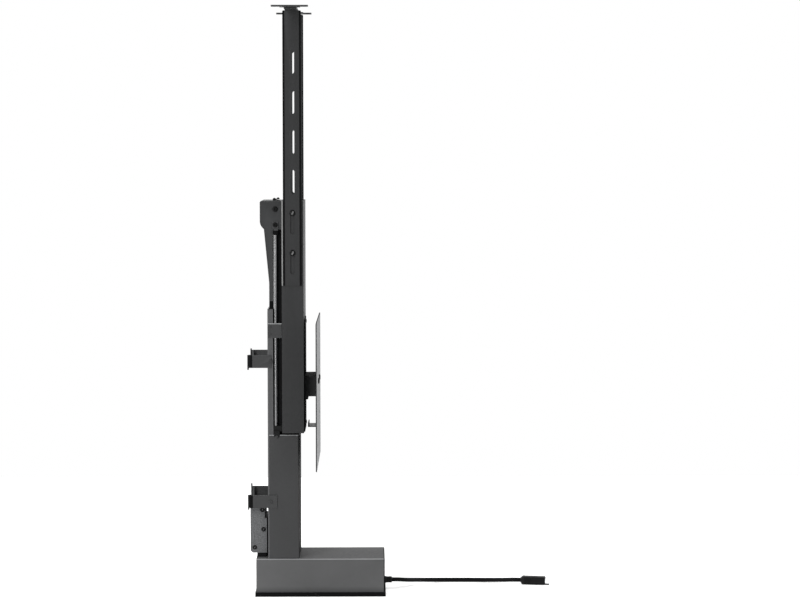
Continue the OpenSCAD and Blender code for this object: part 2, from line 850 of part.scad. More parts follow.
// A round piece with a flange, ribs and a tapered end, on the base's front end
module cord_gland() {
    color("#0f1011") place() translate([gland_x, gland_y, gland_z]) rotate([0, 90, 0]) rotate_extrude()
        difference() {
            union() {
                translate([0, -6]) square([gland_d / 2 - 1, 7]);
                square([gland_d / 2, 4]);
                polygon([[0, 4], [gland_d / 2 - 0.5, 4], [cord_d / 2 + 0.6, gland_l], [0, gland_l]]);
            }
            for (z = [5.5:2.5:gland_l - 2]) translate([cord_d / 2 + 0.3, z]) square([2, 1]);
        }
}

// Rings of points round the cord's route, for one swept tube
function cross3(a, b) = [a[1] * b[2] - a[2] * b[1], a[2] * b[0] - a[0] * b[2], a[0] * b[1] - a[1] * b[0]];
function unit(v) = v / norm(v);
function direction(path, i) = unit(path[min(i + 1, len(path) - 1)] - path[max(i - 1, 0)]);
function ring(path, i, r, sides) =
    let (d = direction(path, i), u = unit(cross3([0, 0, 1], d)), v = cross3(d, u), step = 360 / sides)
    [for (k = [0:sides - 1]) path[i] + r * (u * cos(step * (k + 0.5)) + v * sin(step * (k + 0.5)))];

module swept_tube(path, r, sides) {
    points = [for (i = [0:len(path) - 1]) each ring(path, i, r, sides)];
    last = (len(path) - 1) * sides;
    walls = [for (i = [0:len(path) - 2], k = [0:sides - 1])
        let (a = i * sides + k, b = i * sides + (k + 1) % sides)
        [[a, a + sides, b], [b, a + sides, b + sides]]];
    polyhedron(points = points, faces = concat([for (w = walls) w[0]], [for (w = walls) w[1]],
        [[for (k = [0:sides - 1]) k]], [[for (k = [sides - 1:-1:0]) last + k]]));
}

module cord() {
    color("#0f1011") swept_tube(cord_route, cord_d / 2, 8);
}

// Puts a piece at the cord's far end, along its last stretch
module at_cord_end() {
    translate(cord_end) rotate([0, 0, connector_turn]) children();
}

module connector_body() {
    neck = 3;
    half = connector_h / 2;
    color("#0f1011") at_cord_end() {
        rotate([0, 90, 0]) cylinder(r1 = cord_d / 2 + 0.6, r2 = half - 1, h = neck);
        translate([neck, 0, 0]) rotate([90, 0, 90]) linear_extrude(connector_l - neck)
            rounded(connector_h + 2, connector_h, 3);
        translate([connector_l, -3, -half]) cube([8, 6, 1.6]);
    }
}

module connector_nose() {
    color("#b4b6b8") at_cord_end() translate([connector_l, 0, 0]) difference() {
        rotate([90, 0, 90]) linear_extrude(12) rounded(13, 10, 1.5);
        translate([3, -4.5, -3]) cube([12, 9, 6]);
    }
}

// The inner stage's outline: a channel that opens forwards
module stage_outline() {
    difference() {
        translate([stage_rear, -stage_side]) square([stage_front - stage_rear, stage_w]);
        translate([stage_rear + stage_t, -stage_side + stage_t])
            square([stage_front - stage_rear, stage_w - 2 * stage_t]);
    }
}

module inner_stage() {
    color("#2b2c2e") place() difference() {
        translate([0, 0, stage_bottom]) linear_extrude(stage_top - stage_bottom) stage_outline();
        for (s = [-1, 1]) translate([0, s * strap_y, 0])
            block([stage_rear - cut, -strap_w / 2 - 4, slot_low],
                [stage_rear + stage_t + cut, strap_w / 2 + 4, slot_high]);
        translate([axle_x, 0, axle_z]) bar_y(axle_d, stage_w + 2 * cut);
    }
}

// The bracket's side outline: a box at the top and a gusset that tapers down to the inner stage
module bracket_outline() {
    r = bracket_low_r;
    turn = 53;
    arc_z = bracket_z + r * sin(turn);
    arc = [for (i = [0:8]) let (a = turn * (1 - i / 8))
        [-bracket_back + r - r * cos(a), arc_z - r * sin(a)]];
    polygon(concat([[-bracket_back, lowered_h - bracket_r], [-bracket_back + bracket_r, lowered_h],
        [bracket_front, lowered_h], [bracket_front, bracket_z],
        [flange_front - 0.4, bracket_z], [flange_front - 0.4, gusset_end], [stage_rear, gusset_end],
        [stage_rear, gusset_z]], arc));
    translate([-bracket_back + bracket_r, lowered_h - bracket_r]) circle(bracket_r);
}

// The sheet over the bracket's top and down its rear, as a line with a round corner
module bracket_sheet() {
    back = -bracket_back;
    bend = [back + bracket_r, lowered_h - bracket_r];
    translate([bend[0], stage_top]) square([bracket_front - bend[0], bracket_t]);
    translate([back, bracket_z + bracket_low_r]) square([bracket_t, bend[1] - bracket_z - bracket_low_r]);
    translate(bend) intersection() {
        difference() {
            circle(bracket_r);
            circle(bracket_r - bracket_t);
        }
        translate([-bracket_r, 0]) square(bracket_r);
    }
}

module top_bracket() {
    color("#2e3033") place() {
        difference() {
            both_sides() left_plate(stage_side, bracket_t) bracket_outline();
            translate([axle_x, 0, axle_z]) bar_y(axle_d, 2 * bracket_side + 2 * cut);
        }
        left_plate(-stage_side, stage_w) bracket_sheet();
    }
}

module stage_glides() {
    color("#d8d6cf") place() both_sides()
        block([stage_rear, -col_inner + glide_play, stage_bottom],
            [flange_front - 0.5, -stage_side, stage_bottom + glide_h]);
}

// Sliders on the stage's sides that run inside the carriage's rails
module stage_sliders() {
    waist = rail_mouth - 2 * glide_play;
    head_w = rail_w - 2 * rail_t - 2 * glide_play;
    head_out = carriage_inner - rail_t - glide_play;
    head_in = carriage_inner - rail_d + rail_t + glide_play;
    heights = [stage_top - 2 * slider_l - 10, stage_top - slider_l - 4];
    color("#e2e0d8") place() both_sides() for (z = heights) {
        block([rail_mid - waist / 2, -head_in, z], [rail_mid + waist / 2, -stage_side, z + slider_l]);
        block([rail_mid - head_w / 2, -head_out, z], [rail_mid + head_w / 2, -head_in, z + slider_l]);
    }
}

module nut_bridge() {
    color("#3a3c3f") place() difference() {
        block([stage_rear + stage_t, -stage_side + stage_t, stage_bottom],
            [14, stage_side - stage_t, stage_bottom + 4]);
        translate([spindle_x, 0, stage_bottom - cut]) cylinder(r = nut_r, h = 4 + 2 * cut);
    }
}

module spindle_nut() {
    color("#b08d3c") place() translate([spindle_x, 0, stage_bottom]) difference() {
        union() {
            cylinder(r = nut_r, h = 22);
            translate([0, 0, 4]) cylinder(r = nut_r + 5, h = 4);
        }
        translate([0, 0, -cut]) cylinder(d = spindle_d + 2 * running_play, h = 22 + 2 * cut);
    }
}

module guide_rods() {
    nut_d = [10, rod_y - stage_side - 0.2, 9];
    color("#151617") place() both_sides() translate([rod_x, -rod_y, 0]) {
        translate([0, 0, rod_bottom + 5]) cylinder(d = rod_d, h = rod_top - rod_bottom - 5);
        translate([0, 0, rod_bottom]) cylinder(d1 = rod_d - 3, d2 = rod_d, h = 5);
        block([-nut_d[0] / 2, -nut_d[1], rod_top - rod_seat - nut_d[2]],
            [nut_d[0] / 2, nut_d[1], rod_top - rod_seat]);
    }
}

// An angle on the bracket's side that holds the rod's top end
module rod_brackets() {
    w = rod_angle_w;
    color("#2b2c2e") place() both_sides() difference() {
        union() {
            block([rod_x + w / 2 - rod_seat_w, -col_side - 1.5, rod_top - rod_seat],
                [rod_x + w / 2, -stage_side, rod_top]);
            block([rod_x - w / 2, -bracket_side - rod_angle_t, rod_top],
                [rod_x + w / 2, -bracket_side, rod_top + rod_angle_h]);
        }
        translate([rod_x, -rod_y, rod_top - rod_seat - cut]) cylinder(d = rod_d, h = rod_seat + cut);
        translate([rod_x, -bracket_side, rod_screw_z]) bar_y(4.2, 10);
    }
}

module bracket_screws() {
    color("#17181a") place() both_sides() {
        translate([rod_x, -bracket_side - rod_angle_t, rod_screw_z]) side_screw(10, 2.6, 4, rod_angle_t);
        translate([axle_x, -bracket_side, axle_z]) side_screw(11, 2.6, axle_screw_d, axle_screw_l);
    }
}

module pulley_axle() {
    color("#c2c4c6") place() translate([axle_x, 0, axle_z]) difference() {
        bar_y(axle_d, 2 * bracket_side);
        both_sides() translate([0, -bracket_side, 0]) bar_y(axle_screw_d, 2 * axle_screw_l);
    }
}

// Half of each belt's way round its pulley
module belt_wraps() {
    color("#0d0e0f") place() for (s = [-1, 1]) translate([axle_x, s * strap_y, axle_z]) intersection() {
        difference() {
            bar_y(2 * strap_out, strap_w);
            bar_y(2 * strap_in, strap_w + 2 * cut);
        }
        block([-strap_out - cut, -strap_w, 0], [strap_out + cut, strap_w, strap_out + cut]);
    }
}

module belt_pulleys() {
    edge = 1.4;
    color("#d4d2ca") place() for (s = [-1, 1]) translate([axle_x, s * strap_y, axle_z]) difference() {
        union() {
            bar_y(2 * pulley_r, strap_w + 2 * edge + 0.8);
            for (e = [-1, 1]) translate([0, e * (strap_w / 2 + 0.4 + edge / 2), 0])
                bar_y(2 * pulley_r + 3, edge);
        }
        bar_y(axle_d + 2 * running_play, strap_w + 2 * edge + 4);
    }
}

module belt_rear_runs() {
    low = anchor_z + strap_seat;
    color("#0d0e0f") place() for (s = [-1, 1])
        translate([axle_x - strap_out, s * strap_y - strap_w / 2, low])
            cube([strap_t, strap_w, axle_z - low]);
}

module belt_front_runs() {
    color("#0d0e0f") place() for (s = [-1, 1])
        translate([axle_x + strap_in, s * strap_y - strap_w / 2, crossbar_z])
            cube([strap_t, strap_w, axle_z - crossbar_z]);
}

module carriage() {
    color("#2f3134") place() difference() {
        block([-carriage_back, -carriage_side, carriage_z], [carriage_front, carriage_side, lowered_h]);
        block([-carriage_back - cut, -carriage_inner, carriage_z - cut],
            [carriage_front - carriage_t, carriage_inner, lowered_h + cut]);
        for (z = pole_screw_z) translate([slot_x, 0, z]) bar_y(pole_screw_d, carriage_w + 2 * cut);
    }
}

// C-shaped rails inside the carriage's sides
module carriage_rails() {
    h = carriage_l - 10;
    rear = rail_mid - rail_w / 2;
    color("#8e9093") place() both_sides() translate([rear, -carriage_inner, carriage_z + 5]) difference() {
        cube([rail_w, rail_d, h]);
        translate([rail_t, rail_t, -cut]) cube([rail_w - 2 * rail_t, rail_d - 2 * rail_t, h + 2 * cut]);
        translate([(rail_w - rail_mouth) / 2, rail_t, -cut]) cube([rail_mouth, rail_d, h + 2 * cut]);
        for (z = pole_screw_z) translate([slot_x - rear, 0, z - carriage_z - 5])
            bar_y(pole_screw_d, 2 * rail_t + cut);
    }
}

// The bar that joins the belts' moving ends to the carriage's front wall
module carriage_crossbar() {
    back = axle_x + strap_in + strap_t;
    color("#3a3c3f") place() {
        difference() {
            block([back, -strap_y - strap_w, crossbar_z],
                [carriage_front - carriage_t, strap_y + strap_w, crossbar_z + crossbar_t]);
            block([back - cut, -strap_y + strap_w / 2 + 2, crossbar_z - cut],
                [10, strap_y - strap_w / 2 - 2, crossbar_z + crossbar_t + cut]);
        }
        for (s = [-1, 1]) translate([back - strap_t - 2, s * strap_y, crossbar_z]) difference() {
            translate([0, -strap_w / 2 - 2, 0]) cube([strap_t + 2, strap_w + 4, crossbar_t]);
            translate([2, -strap_w / 2, -cut]) cube([strap_t, strap_w, crossbar_t + 2 * cut]);
        }
    }
}

module front_plate() {
    color("#1d1e20") place() difference() {
        translate([carriage_front, 0, carriage_z + front_h / 2]) rotate([90, 0, 90]) linear_extrude(front_t)
            rounded(front_w, front_h, 4);
        for (y = [-1, 1], z = front_screw_z) translate([carriage_front - cut, y * front_screw_y, z])
            bar_x(5.2, front_t + 2 * cut);
    }
}

// The block between the front plate and the screen plate, with a flange behind and a lip on top
module screen_mount_block() {
    flange_t = 6;
    lip = 6;
    top = block_z + block_h;
    color("#232427") place() difference() {
        union() {
            for (s = [-1, 1]) translate([0, s * post_y, 0])
                block([front_x, -9, block_z], [screen_x, 9, top - lip]);
            block([front_x, -block_w / 2, top - lip], [screen_x, block_w / 2, top]);
            block([front_x, -block_w / 2, block_z - lip], [front_x + flange_t, block_w / 2, top]);
        }
        for (s = [-1, 1]) translate([screen_x - post_screw_l, s * post_y, post_screw_z])
            bar_x(6, 2 * post_screw_l);
    }
}

// A hook-shaped strip behind the screen plate, with its rear edge turned up
module screen_ledge() {
    side = front_screw_y - 15;
    back = front_x + 5;
    color("#232427") place() {
        block([back, -side, ledge_z], [screen_x, side, ledge_z + 2]);
        block([back, -side, ledge_z], [back + 2, side, ledge_z + 9]);
        block([screen_x - 2, -side, ledge_z], [screen_x, side, ledge_z + 5]);
    }
}

// The plate that the screen is bolted to, with a large and a small square of holes and the pair between them
module screen_plate() {
    color("#2f3134") place() difference() {
        translate([screen_x, 0, screen_mid]) rotate([90, 0, 90]) linear_extrude(screen_t) difference() {
            rounded(screen_w, screen_h, screen_r);
            for (span = screen_patterns, y = [-1, 1], z = [-1, 1])
                translate([y * span[0] / 2, z * span[1] / 2]) circle(d = screen_hole_d);
        }
        for (s = [-1, 1]) translate([screen_x - cut, s * post_y, post_screw_z]) bar_x(6, screen_t + 2 * cut);
    }
}

module screen_bolts() {
    color("#17181a") place() {
        for (s = [-1, 1]) translate([screen_x + screen_t, s * post_y, post_screw_z])
            front_screw(12, 3, 6, screen_t + post_screw_l);
        for (y = [-1, 1], z = front_screw_z) translate([front_x, y * front_screw_y, z])
            front_screw(8, 1.2, 5, front_t);
    }
}

module pole_screws() {
    color("#26282b") place() both_sides() for (z = pole_screw_z)
        translate([slot_x, -leg_side, z])
            side_screw(pole_head_d, 3, pole_screw_d, leg_t + carriage_t + rail_t);
}

// A pole leg on the left side, with its neck and the flange that the lid plate lies on
module pole_leg() {
    chamfer = 1.5;
    flange_out = lid_w / 2 - strip_w - 1;
    left_plate(carriage_side, leg_t) difference() {
        union() {
            polygon([[0, leg_z], [leg_d, leg_z], [leg_d, leg_top - chamfer], [leg_d - chamfer, leg_top],
                [chamfer, leg_top], [0, leg_top - chamfer]]);
            translate([neck_x - neck_w / 2, leg_top - cut]) square([neck_w, neck_h + cut + lid_t]);
        }
        for (i = [0:slot_count - 1]) translate([slot_x, leg_z + slot_start + i * slot_pitch])
            slot_outline(slot_w, slot_l);
    }
    block([neck_x - neck_w / 2, -flange_out, flange_z],
        [neck_x + neck_w / 2, -carriage_side, flange_z + lid_t]);
}

module pole_leg_left() {
    color("#2e3033") place() pole_leg();
}

module pole_leg_right() {
    color("#2e3033") place() mirror([0, 1, 0]) pole_leg();
}

// A plate across the pole from strip to strip, with wide ends
module lid_cross_plate() {
    half = lid_w / 2 - strip_w;
    color("#2b2c2e") place() union() {
        block([neck_x - neck_w / 2, -half, lid_z], [neck_x + neck_w / 2, half, lid_z + lid_t]);
        both_sides() block([lid_x - cross_w / 2, -half, lid_z],
            [lid_x + cross_w / 2, cross_end - half, lid_z + lid_t]);
    }
}

module lid_strips() {
    color("#2b2c2e") place() for (s = [-1, 1]) translate([lid_x, s * strip_y, lid_z]) difference() {
        linear_extrude(lid_t) rounded(lid_l, strip_w, 3);
        for (e = [-1, 1]) translate([e * lid_hole_span / 2, 0, -cut])
            cylinder(d = lid_hole_d, h = lid_t + 2 * cut);
    }
}

bottom_plate();
base_cover();
base_end_plate();
base_screws();
column_foot();
rear_upright();
column_cover();
column_glides();
rod_clips();
rod_guide_blocks();
clip_screws();
gearmotor_case();
gearmotor_side_cover();
gearmotor_screws();
gearmotor_pad();
motor();
motor_shaft();
timing_belt();
spindle();
spindle_pulley();
spindle_bearing();
belt_anchors();
upper_hook_left();
upper_hook_right();
lower_hook_left();
lower_hook_right();
hook_bolts();
circuit_board();
power_supply();
cord_gland();
cord();
connector_body();
connector_nose();
inner_stage();
top_bracket();
stage_glides();
stage_sliders();
nut_bridge();
spindle_nut();
guide_rods();
rod_brackets();
bracket_screws();
pulley_axle();
belt_wraps();
belt_pulleys();
belt_rear_runs();
belt_front_runs();
carriage();
carriage_rails();
carriage_crossbar();
front_plate();
screen_mount_block();
screen_ledge();
screen_plate();
screen_bolts();
pole_screws();
pole_leg_left();
pole_leg_right();
lid_cross_plate();
lid_strips();
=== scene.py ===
# Dresses the screen lift for its picture: camera, cord, coats, fastenings, belts and light.
# Lengths are in metres, in the same frame as the solids: +X front, -Y left, +Z up.
import json
import math

import bmesh
import bpy
from mathutils import Matrix, Vector


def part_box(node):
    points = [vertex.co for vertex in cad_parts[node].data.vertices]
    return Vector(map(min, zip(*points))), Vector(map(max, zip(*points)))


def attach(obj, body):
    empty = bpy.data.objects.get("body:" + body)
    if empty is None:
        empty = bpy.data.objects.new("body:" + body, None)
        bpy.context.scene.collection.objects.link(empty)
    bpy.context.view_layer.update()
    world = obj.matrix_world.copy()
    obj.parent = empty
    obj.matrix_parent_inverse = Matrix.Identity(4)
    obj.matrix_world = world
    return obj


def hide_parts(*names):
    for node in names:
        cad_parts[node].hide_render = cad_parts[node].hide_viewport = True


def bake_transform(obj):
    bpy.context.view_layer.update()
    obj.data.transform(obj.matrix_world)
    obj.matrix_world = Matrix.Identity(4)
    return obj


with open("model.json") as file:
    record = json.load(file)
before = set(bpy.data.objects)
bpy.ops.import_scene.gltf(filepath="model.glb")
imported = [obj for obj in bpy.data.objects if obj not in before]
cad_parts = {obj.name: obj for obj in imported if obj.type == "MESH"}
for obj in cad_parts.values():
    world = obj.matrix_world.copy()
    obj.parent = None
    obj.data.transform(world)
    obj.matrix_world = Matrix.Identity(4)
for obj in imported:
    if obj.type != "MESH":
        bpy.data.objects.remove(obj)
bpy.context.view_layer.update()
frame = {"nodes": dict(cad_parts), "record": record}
scene = bpy.context.scene

MM = 0.001
BODY_OF = {node: body for body, nodes in frame["record"]["behaviour"]["bodies"].items() for node in nodes}
SLOT_OF = {part["node"]: part["material_slot"] for part in frame["record"]["subparts"]}


# Camera

CAMERA_PLACE = (0.1101, -4.3, 0.8878)
CAMERA_DOWN = math.radians(3.99)
CAMERA_TURN = math.radians(0.746)
CAMERA_LENS = 96.75
SENSOR_WIDTH = 36
FARTHEST_SEEN = 60


def make_camera():
    data = bpy.data.cameras.new("camera")
    data.lens = CAMERA_LENS
    data.sensor_width = SENSOR_WIDTH
    data.clip_end = FARTHEST_SEEN
    camera = bpy.data.objects.new("camera", data)
    camera.location = CAMERA_PLACE
    camera.rotation_euler = (math.pi / 2 - CAMERA_DOWN, 0, -CAMERA_TURN)
    scene.collection.objects.link(camera)
    scene.camera = camera


# Materials

# Most of a noise texture's values lie between these
NOISE_LOW = 0.3
NOISE_HIGH = 0.7
# Pointiness where an edge starts to look rubbed, and where it is rubbed fully
BLUNT_EDGE = 0.53
SHARP_EDGE = 0.62
# Noise scales of the grain in a powder coat and in a mould, and how far a plastic's tone drifts
POWDER_GRAIN = 1400
MOULD_GRAIN = 1800
TONE_DRIFT = 0.06
FLOOR_GLOW = 0.52


def new_material(name):
    made = bpy.data.materials.new(name)
    made.use_nodes = True
    nodes = made.node_tree.nodes
    shader = nodes["Principled BSDF"]
    return made, nodes, made.node_tree.links, shader


def noise(nodes, links, scale, detail, stretch=(1, 1, 1)):
    """Noise in the object's own metres; stretch draws it out along an axis."""
    place = nodes.new("ShaderNodeTexCoord")
    mapping = nodes.new("ShaderNodeMapping")
    mapping.inputs["Scale"].default_value = stretch
    texture = nodes.new("ShaderNodeTexNoise")
    texture.inputs["Scale"].default_value = scale
    texture.inputs["Detail"].default_value = detail
    links.new(place.outputs["Object"], mapping.inputs["Vector"])
    links.new(mapping.outputs["Vector"], texture.inputs["Vector"])
    return texture.outputs["Fac"]


def ramp(nodes, links, source, low, high, start=NOISE_LOW, end=NOISE_HIGH):
    """Two colours over a stretch of a source's values."""
    step = nodes.new("ShaderNodeValToRGB")
    step.color_ramp.elements[0].position = start
    step.color_ramp.elements[0].color = (*low, 1)
    step.color_ramp.elements[1].position = end
    step.color_ramp.elements[1].color = (*high, 1)
    links.new(source, step.inputs["Fac"])
    return step.outputs["Color"]


def spread(nodes, links, source, low, high):
    """A source's middle values mapped to a range of numbers."""
    step = nodes.new("ShaderNodeMapRange")
    step.inputs["From Min"].default_value = NOISE_LOW
    step.inputs["From Max"].default_value = NOISE_HIGH
    step.inputs["To Min"].default_value = low
    step.inputs["To Max"].default_value = high
    links.new(source, step.inputs["Value"])
    return step.outputs["Result"]


def bump(nodes, links, shader, sources):
    """Stacks bumps of (source, height in metres, strength) onto the shader's normal."""
    last = None
    for source, height, strength in sources:
        step = nodes.new("ShaderNodeBump")
        step.inputs["Distance"].default_value = height
        step.inputs["Strength"].default_value = strength
        links.new(source, step.inputs["Height"])
        if last is not None:
            links.new(last, step.inputs["Normal"])
        last = step.outputs["Normal"]
    links.new(last, shader.inputs["Normal"])


def worn_edges(nodes, links, colour, worn, amount):
    """Lightens a colour where the surface is sharply convex."""
    shape = nodes.new("ShaderNodeNewGeometry")
    edge = nodes.new("ShaderNodeMapRange")
    edge.inputs["From Min"].default_value = BLUNT_EDGE
    edge.inputs["From Max"].default_value = SHARP_EDGE
    edge.inputs["To Min"].default_value = 0.0
    edge.inputs["To Max"].default_value = amount
    mix = nodes.new("ShaderNodeMix")
    mix.data_type = "RGBA"
    mix.inputs["B"].default_value = (*worn, 1)
    links.new(shape.outputs["Pointiness"], edge.inputs["Value"])
    links.new(edge.outputs["Result"], mix.inputs["Factor"])
    links.new(colour, mix.inputs["A"])
    return mix.outputs["Result"]


def tint(colour, share):
    return tuple(channel * share for channel in colour)


def powder_coat(name, colour, roughness, grain_height, specular, gloss=0.06):
    """Baked powder coat: a fine orange-peel grain, faint clouds of tone and slightly rubbed edges."""
    made, nodes, links, shader = new_material(name)
    clouds = noise(nodes, links, 9, 4)
    tone = ramp(nodes, links, clouds, tint(colour, 0.9), tint(colour, 1.1))
    links.new(worn_edges(nodes, links, tone, tint(colour, 2.2), 0.5), shader.inputs["Base Color"])
    grain = noise(nodes, links, POWDER_GRAIN, 2)
    links.new(spread(nodes, links, noise(nodes, links, 160, 4), roughness - 0.05, roughness + 0.06),
              shader.inputs["Roughness"])
    shader.inputs["Specular IOR Level"].default_value = specular
    shader.inputs["Coat Weight"].default_value = gloss
    shader.inputs["Coat Roughness"].default_value = 0.22
    peel = noise(nodes, links, POWDER_GRAIN * 0.35, 2)
    bump(nodes, links, shader, [(peel, grain_height, 0.35), (grain, grain_height, 0.5)])
    return made


def shade_along(made, axis, start, end, low, high):
    """Scales a coat's colour along an axis of the object, from one share to another."""
    nodes = made.node_tree.nodes
    links = made.node_tree.links
    target = nodes["Principled BSDF"].inputs["Base Color"]
    colour = target.links[0].from_socket
    place = nodes.new("ShaderNodeTexCoord")
    parts = nodes.new("ShaderNodeSeparateXYZ")
    share = nodes.new("ShaderNodeMapRange")
    share.inputs["From Min"].default_value = start
    share.inputs["From Max"].default_value = end
    share.inputs["To Min"].default_value = low
    share.inputs["To Max"].default_value = high
    scaled = nodes.new("ShaderNodeVectorMath")
    scaled.operation = "SCALE"
    links.new(place.outputs["Object"], parts.inputs["Vector"])
    links.new(parts.outputs[axis], share.inputs["Value"])
    links.new(colour, scaled.inputs[0])
    links.new(share.outputs["Result"], scaled.inputs["Scale"])
    links.new(scaled.outputs["Vector"], target)


def crinkle_coat(name, colour):
    """Coarse textured coat with fine lighter peaks, as on the gearmotor's case."""
    made, nodes, links, shader = new_material(name)
    peaks = nodes.new("ShaderNodeTexVoronoi")
    peaks.inputs["Scale"].default_value = 620
    place = nodes.new("ShaderNodeTexCoord")
    links.new(place.outputs["Object"], peaks.inputs["Vector"])
    rough = noise(nodes, links, 420, 5)
    tone = ramp(nodes, links, rough, tint(colour, 0.6), tint(colour, 1.45), 0.38, 0.66)
    links.new(worn_edges(nodes, links, tone, tint(colour, 1.8), 0.5), shader.inputs["Base Color"])
    links.new(spread(nodes, links, rough, 0.55, 0.75), shader.inputs["Roughness"])
    bump(nodes, links, shader, [(rough, 0.0006, 0.6), (peaks.outputs["Distance"], 0.0004, 0.5)])
    return made


def drawn_steel(name, colour, roughness, along=(1, 1, 0.02)):
    """Drawn or turned bright steel: fine streaks along one way and clouded zinc."""
    made, nodes, links, shader = new_material(name)
    streaks = noise(nodes, links, 900, 3, along)
    clouds = noise(nodes, links, 55, 5)
    tone = ramp(nodes, links, clouds, tint(colour, 0.84), tint(colour, 1.08))
    links.new(tone, shader.inputs["Base Color"])
    shader.inputs["Metallic"].default_value = 1.0
    links.new(spread(nodes, links, streaks, roughness - 0.08, roughness + 0.1), shader.inputs["Roughness"])
    bump(nodes, links, shader, [(streaks, 0.00003, 0.35)])
    return made


def ground_rod(name):
    """Ground and dark-plated rod: smooth metal with faint rings from the grinding."""
    made, nodes, links, shader = new_material(name)
    rings = noise(nodes, links, 500, 2, (0.02, 0.02, 1))
    links.new(ramp(nodes, links, rings, (0.13, 0.13, 0.132), (0.17, 0.17, 0.172)),
              shader.inputs["Base Color"])
    shader.inputs["Metallic"].default_value = 1.0
    shader.inputs["Roughness"].default_value = 0.12
    return made


def plated_black(name):
    """Black zinc on screws: dark, part metallic, with a faint yellow and blue drift."""
    made, nodes, links, shader = new_material(name)
    drift = noise(nodes, links, 260, 3)
    links.new(ramp(nodes, links, drift, (0.003, 0.0029, 0.0025), (0.005, 0.0052, 0.006)),
              shader.inputs["Base Color"])
    shader.inputs["Metallic"].default_value = 0.3
    shader.inputs["Specular IOR Level"].default_value = 0.12
    links.new(spread(nodes, links, noise(nodes, links, 900, 3), 0.28, 0.42), shader.inputs["Roughness"])
    bump(nodes, links, shader, [(noise(nodes, links, 2200, 2), 0.00003, 0.4)])
    return made


def moulded_plastic(name, colour, roughness, specular=0.5):
    """Moulded plastic: an even grain from the mould and a faint change of tone."""
    made, nodes, links, shader = new_material(name)
    clouds = noise(nodes, links, 30, 3)
    links.new(ramp(nodes, links, clouds, tint(colour, 1 - TONE_DRIFT), tint(colour, 1 + TONE_DRIFT)),
              shader.inputs["Base Color"])
    links.new(spread(nodes, links, noise(nodes, links, 300, 3), roughness - 0.04, roughness + 0.06),
              shader.inputs["Roughness"])
    shader.inputs["Specular IOR Level"].default_value = specular
    bump(nodes, links, shader, [(noise(nodes, links, MOULD_GRAIN, 2), 0.00005, 0.5)])
    return made


def belt_rubber(name):
    """Matt black belt with cords showing faintly along it."""
    made, nodes, links, shader = new_material(name)
    cords = noise(nodes, links, 2600, 2, (1, 1, 0.01))
    links.new(ramp(nodes, links, noise(nodes, links, 80, 4), (0.012, 0.012, 0.013), (0.024, 0.024, 0.026)),
              shader.inputs["Base Color"])
    links.new(spread(nodes, links, cords, 0.6, 0.8), shader.inputs["Roughness"])
    bump(nodes, links, shader, [(cords, 0.00008, 0.6)])
    return made


def ribbed_rubber(name):
    """Rubber pad with fine upright ribs."""
    made, nodes, links, shader = new_material(name)
    place = nodes.new("ShaderNodeTexCoord")
    ribs = nodes.new("ShaderNodeTexWave")
    ribs.bands_direction = "Y"
    ribs.inputs["Scale"].default_value = 90
    ribs.inputs["Distortion"].default_value = 0.2
    links.new(place.outputs["Object"], ribs.inputs["Vector"])
    links.new(ramp(nodes, links, noise(nodes, links, 200, 3), (0.004, 0.004, 0.0044), (0.011, 0.011, 0.012)),
              shader.inputs["Base Color"])
    shader.inputs["Roughness"].default_value = 0.75
    shader.inputs["Specular IOR Level"].default_value = 0.08
    bump(nodes, links, shader, [(ribs.outputs["Fac"], 0.0006, 0.8)])
    return made


def jacket(name):
    """The cord's smooth rubber jacket, with a soft gloss."""
    made, nodes, links, shader = new_material(name)
    clouds = noise(nodes, links, 70, 3)
    links.new(ramp(nodes, links, clouds, (0.0015, 0.0015, 0.0017), (0.003, 0.003, 0.0033)),
              shader.inputs["Base Color"])
    shader.inputs["Specular IOR Level"].default_value = 0.06
    links.new(spread(nodes, links, noise(nodes, links, 500, 3), 0.34, 0.46), shader.inputs["Roughness"])
    bump(nodes, links, shader, [(noise(nodes, links, 900, 2), 0.00006, 0.4)])
    return made


def board_mask(name):
    """Green solder mask with faint tracks and pads."""
    made, nodes, links, shader = new_material(name)
    place = nodes.new("ShaderNodeTexCoord")
    tracks = nodes.new("ShaderNodeTexBrick")
    tracks.inputs["Scale"].default_value = 240
    tracks.inputs["Color1"].default_value = (0.012, 0.09, 0.035, 1)
    tracks.inputs["Color2"].default_value = (0.02, 0.13, 0.05, 1)
    tracks.inputs["Mortar"].default_value = (0.05, 0.2, 0.08, 1)
    links.new(place.outputs["Object"], tracks.inputs["Vector"])
    links.new(tracks.outputs["Color"], shader.inputs["Base Color"])
    shader.inputs["Roughness"].default_value = 0.35
    bump(nodes, links, shader, [(tracks.outputs["Fac"], 0.0002, 0.5)])
    return made


def seen_directly(nodes, links):
    """1 on rays from the camera, a gloss or a clear piece, and 0 on rays that only carry light."""
    path = nodes.new("ShaderNodeLightPath")
    last = path.outputs["Is Camera Ray"]
    for name in ("Is Glossy Ray", "Is Transmission Ray"):
        either = nodes.new("ShaderNodeMath")
        either.operation = "MAXIMUM"
        links.new(last, either.inputs[0])
        links.new(path.outputs[name], either.inputs[1])
        last = either.outputs["Value"]
    return last


def pale_floor(name):
    """White paper: where it is seen it glows up to white, and the shadow on it still shows."""
    made, nodes, links, shader = new_material(name)
    links.new(ramp(nodes, links, noise(nodes, links, 3, 2), (0.82, 0.82, 0.82), (0.84, 0.84, 0.84)),
              shader.inputs["Base Color"])
    shader.inputs["Roughness"].default_value = 0.9
    shader.inputs["Specular IOR Level"].default_value = 0.1
    shader.inputs["Emission Color"].default_value = (1, 1, 1, 1)
    glow = nodes.new("ShaderNodeMath")
    glow.operation = "MULTIPLY"
    glow.inputs[1].default_value = FLOOR_GLOW
    links.new(seen_directly(nodes, links), glow.inputs[0])
    links.new(glow.outputs["Value"], shader.inputs["Emission Strength"])
    return made


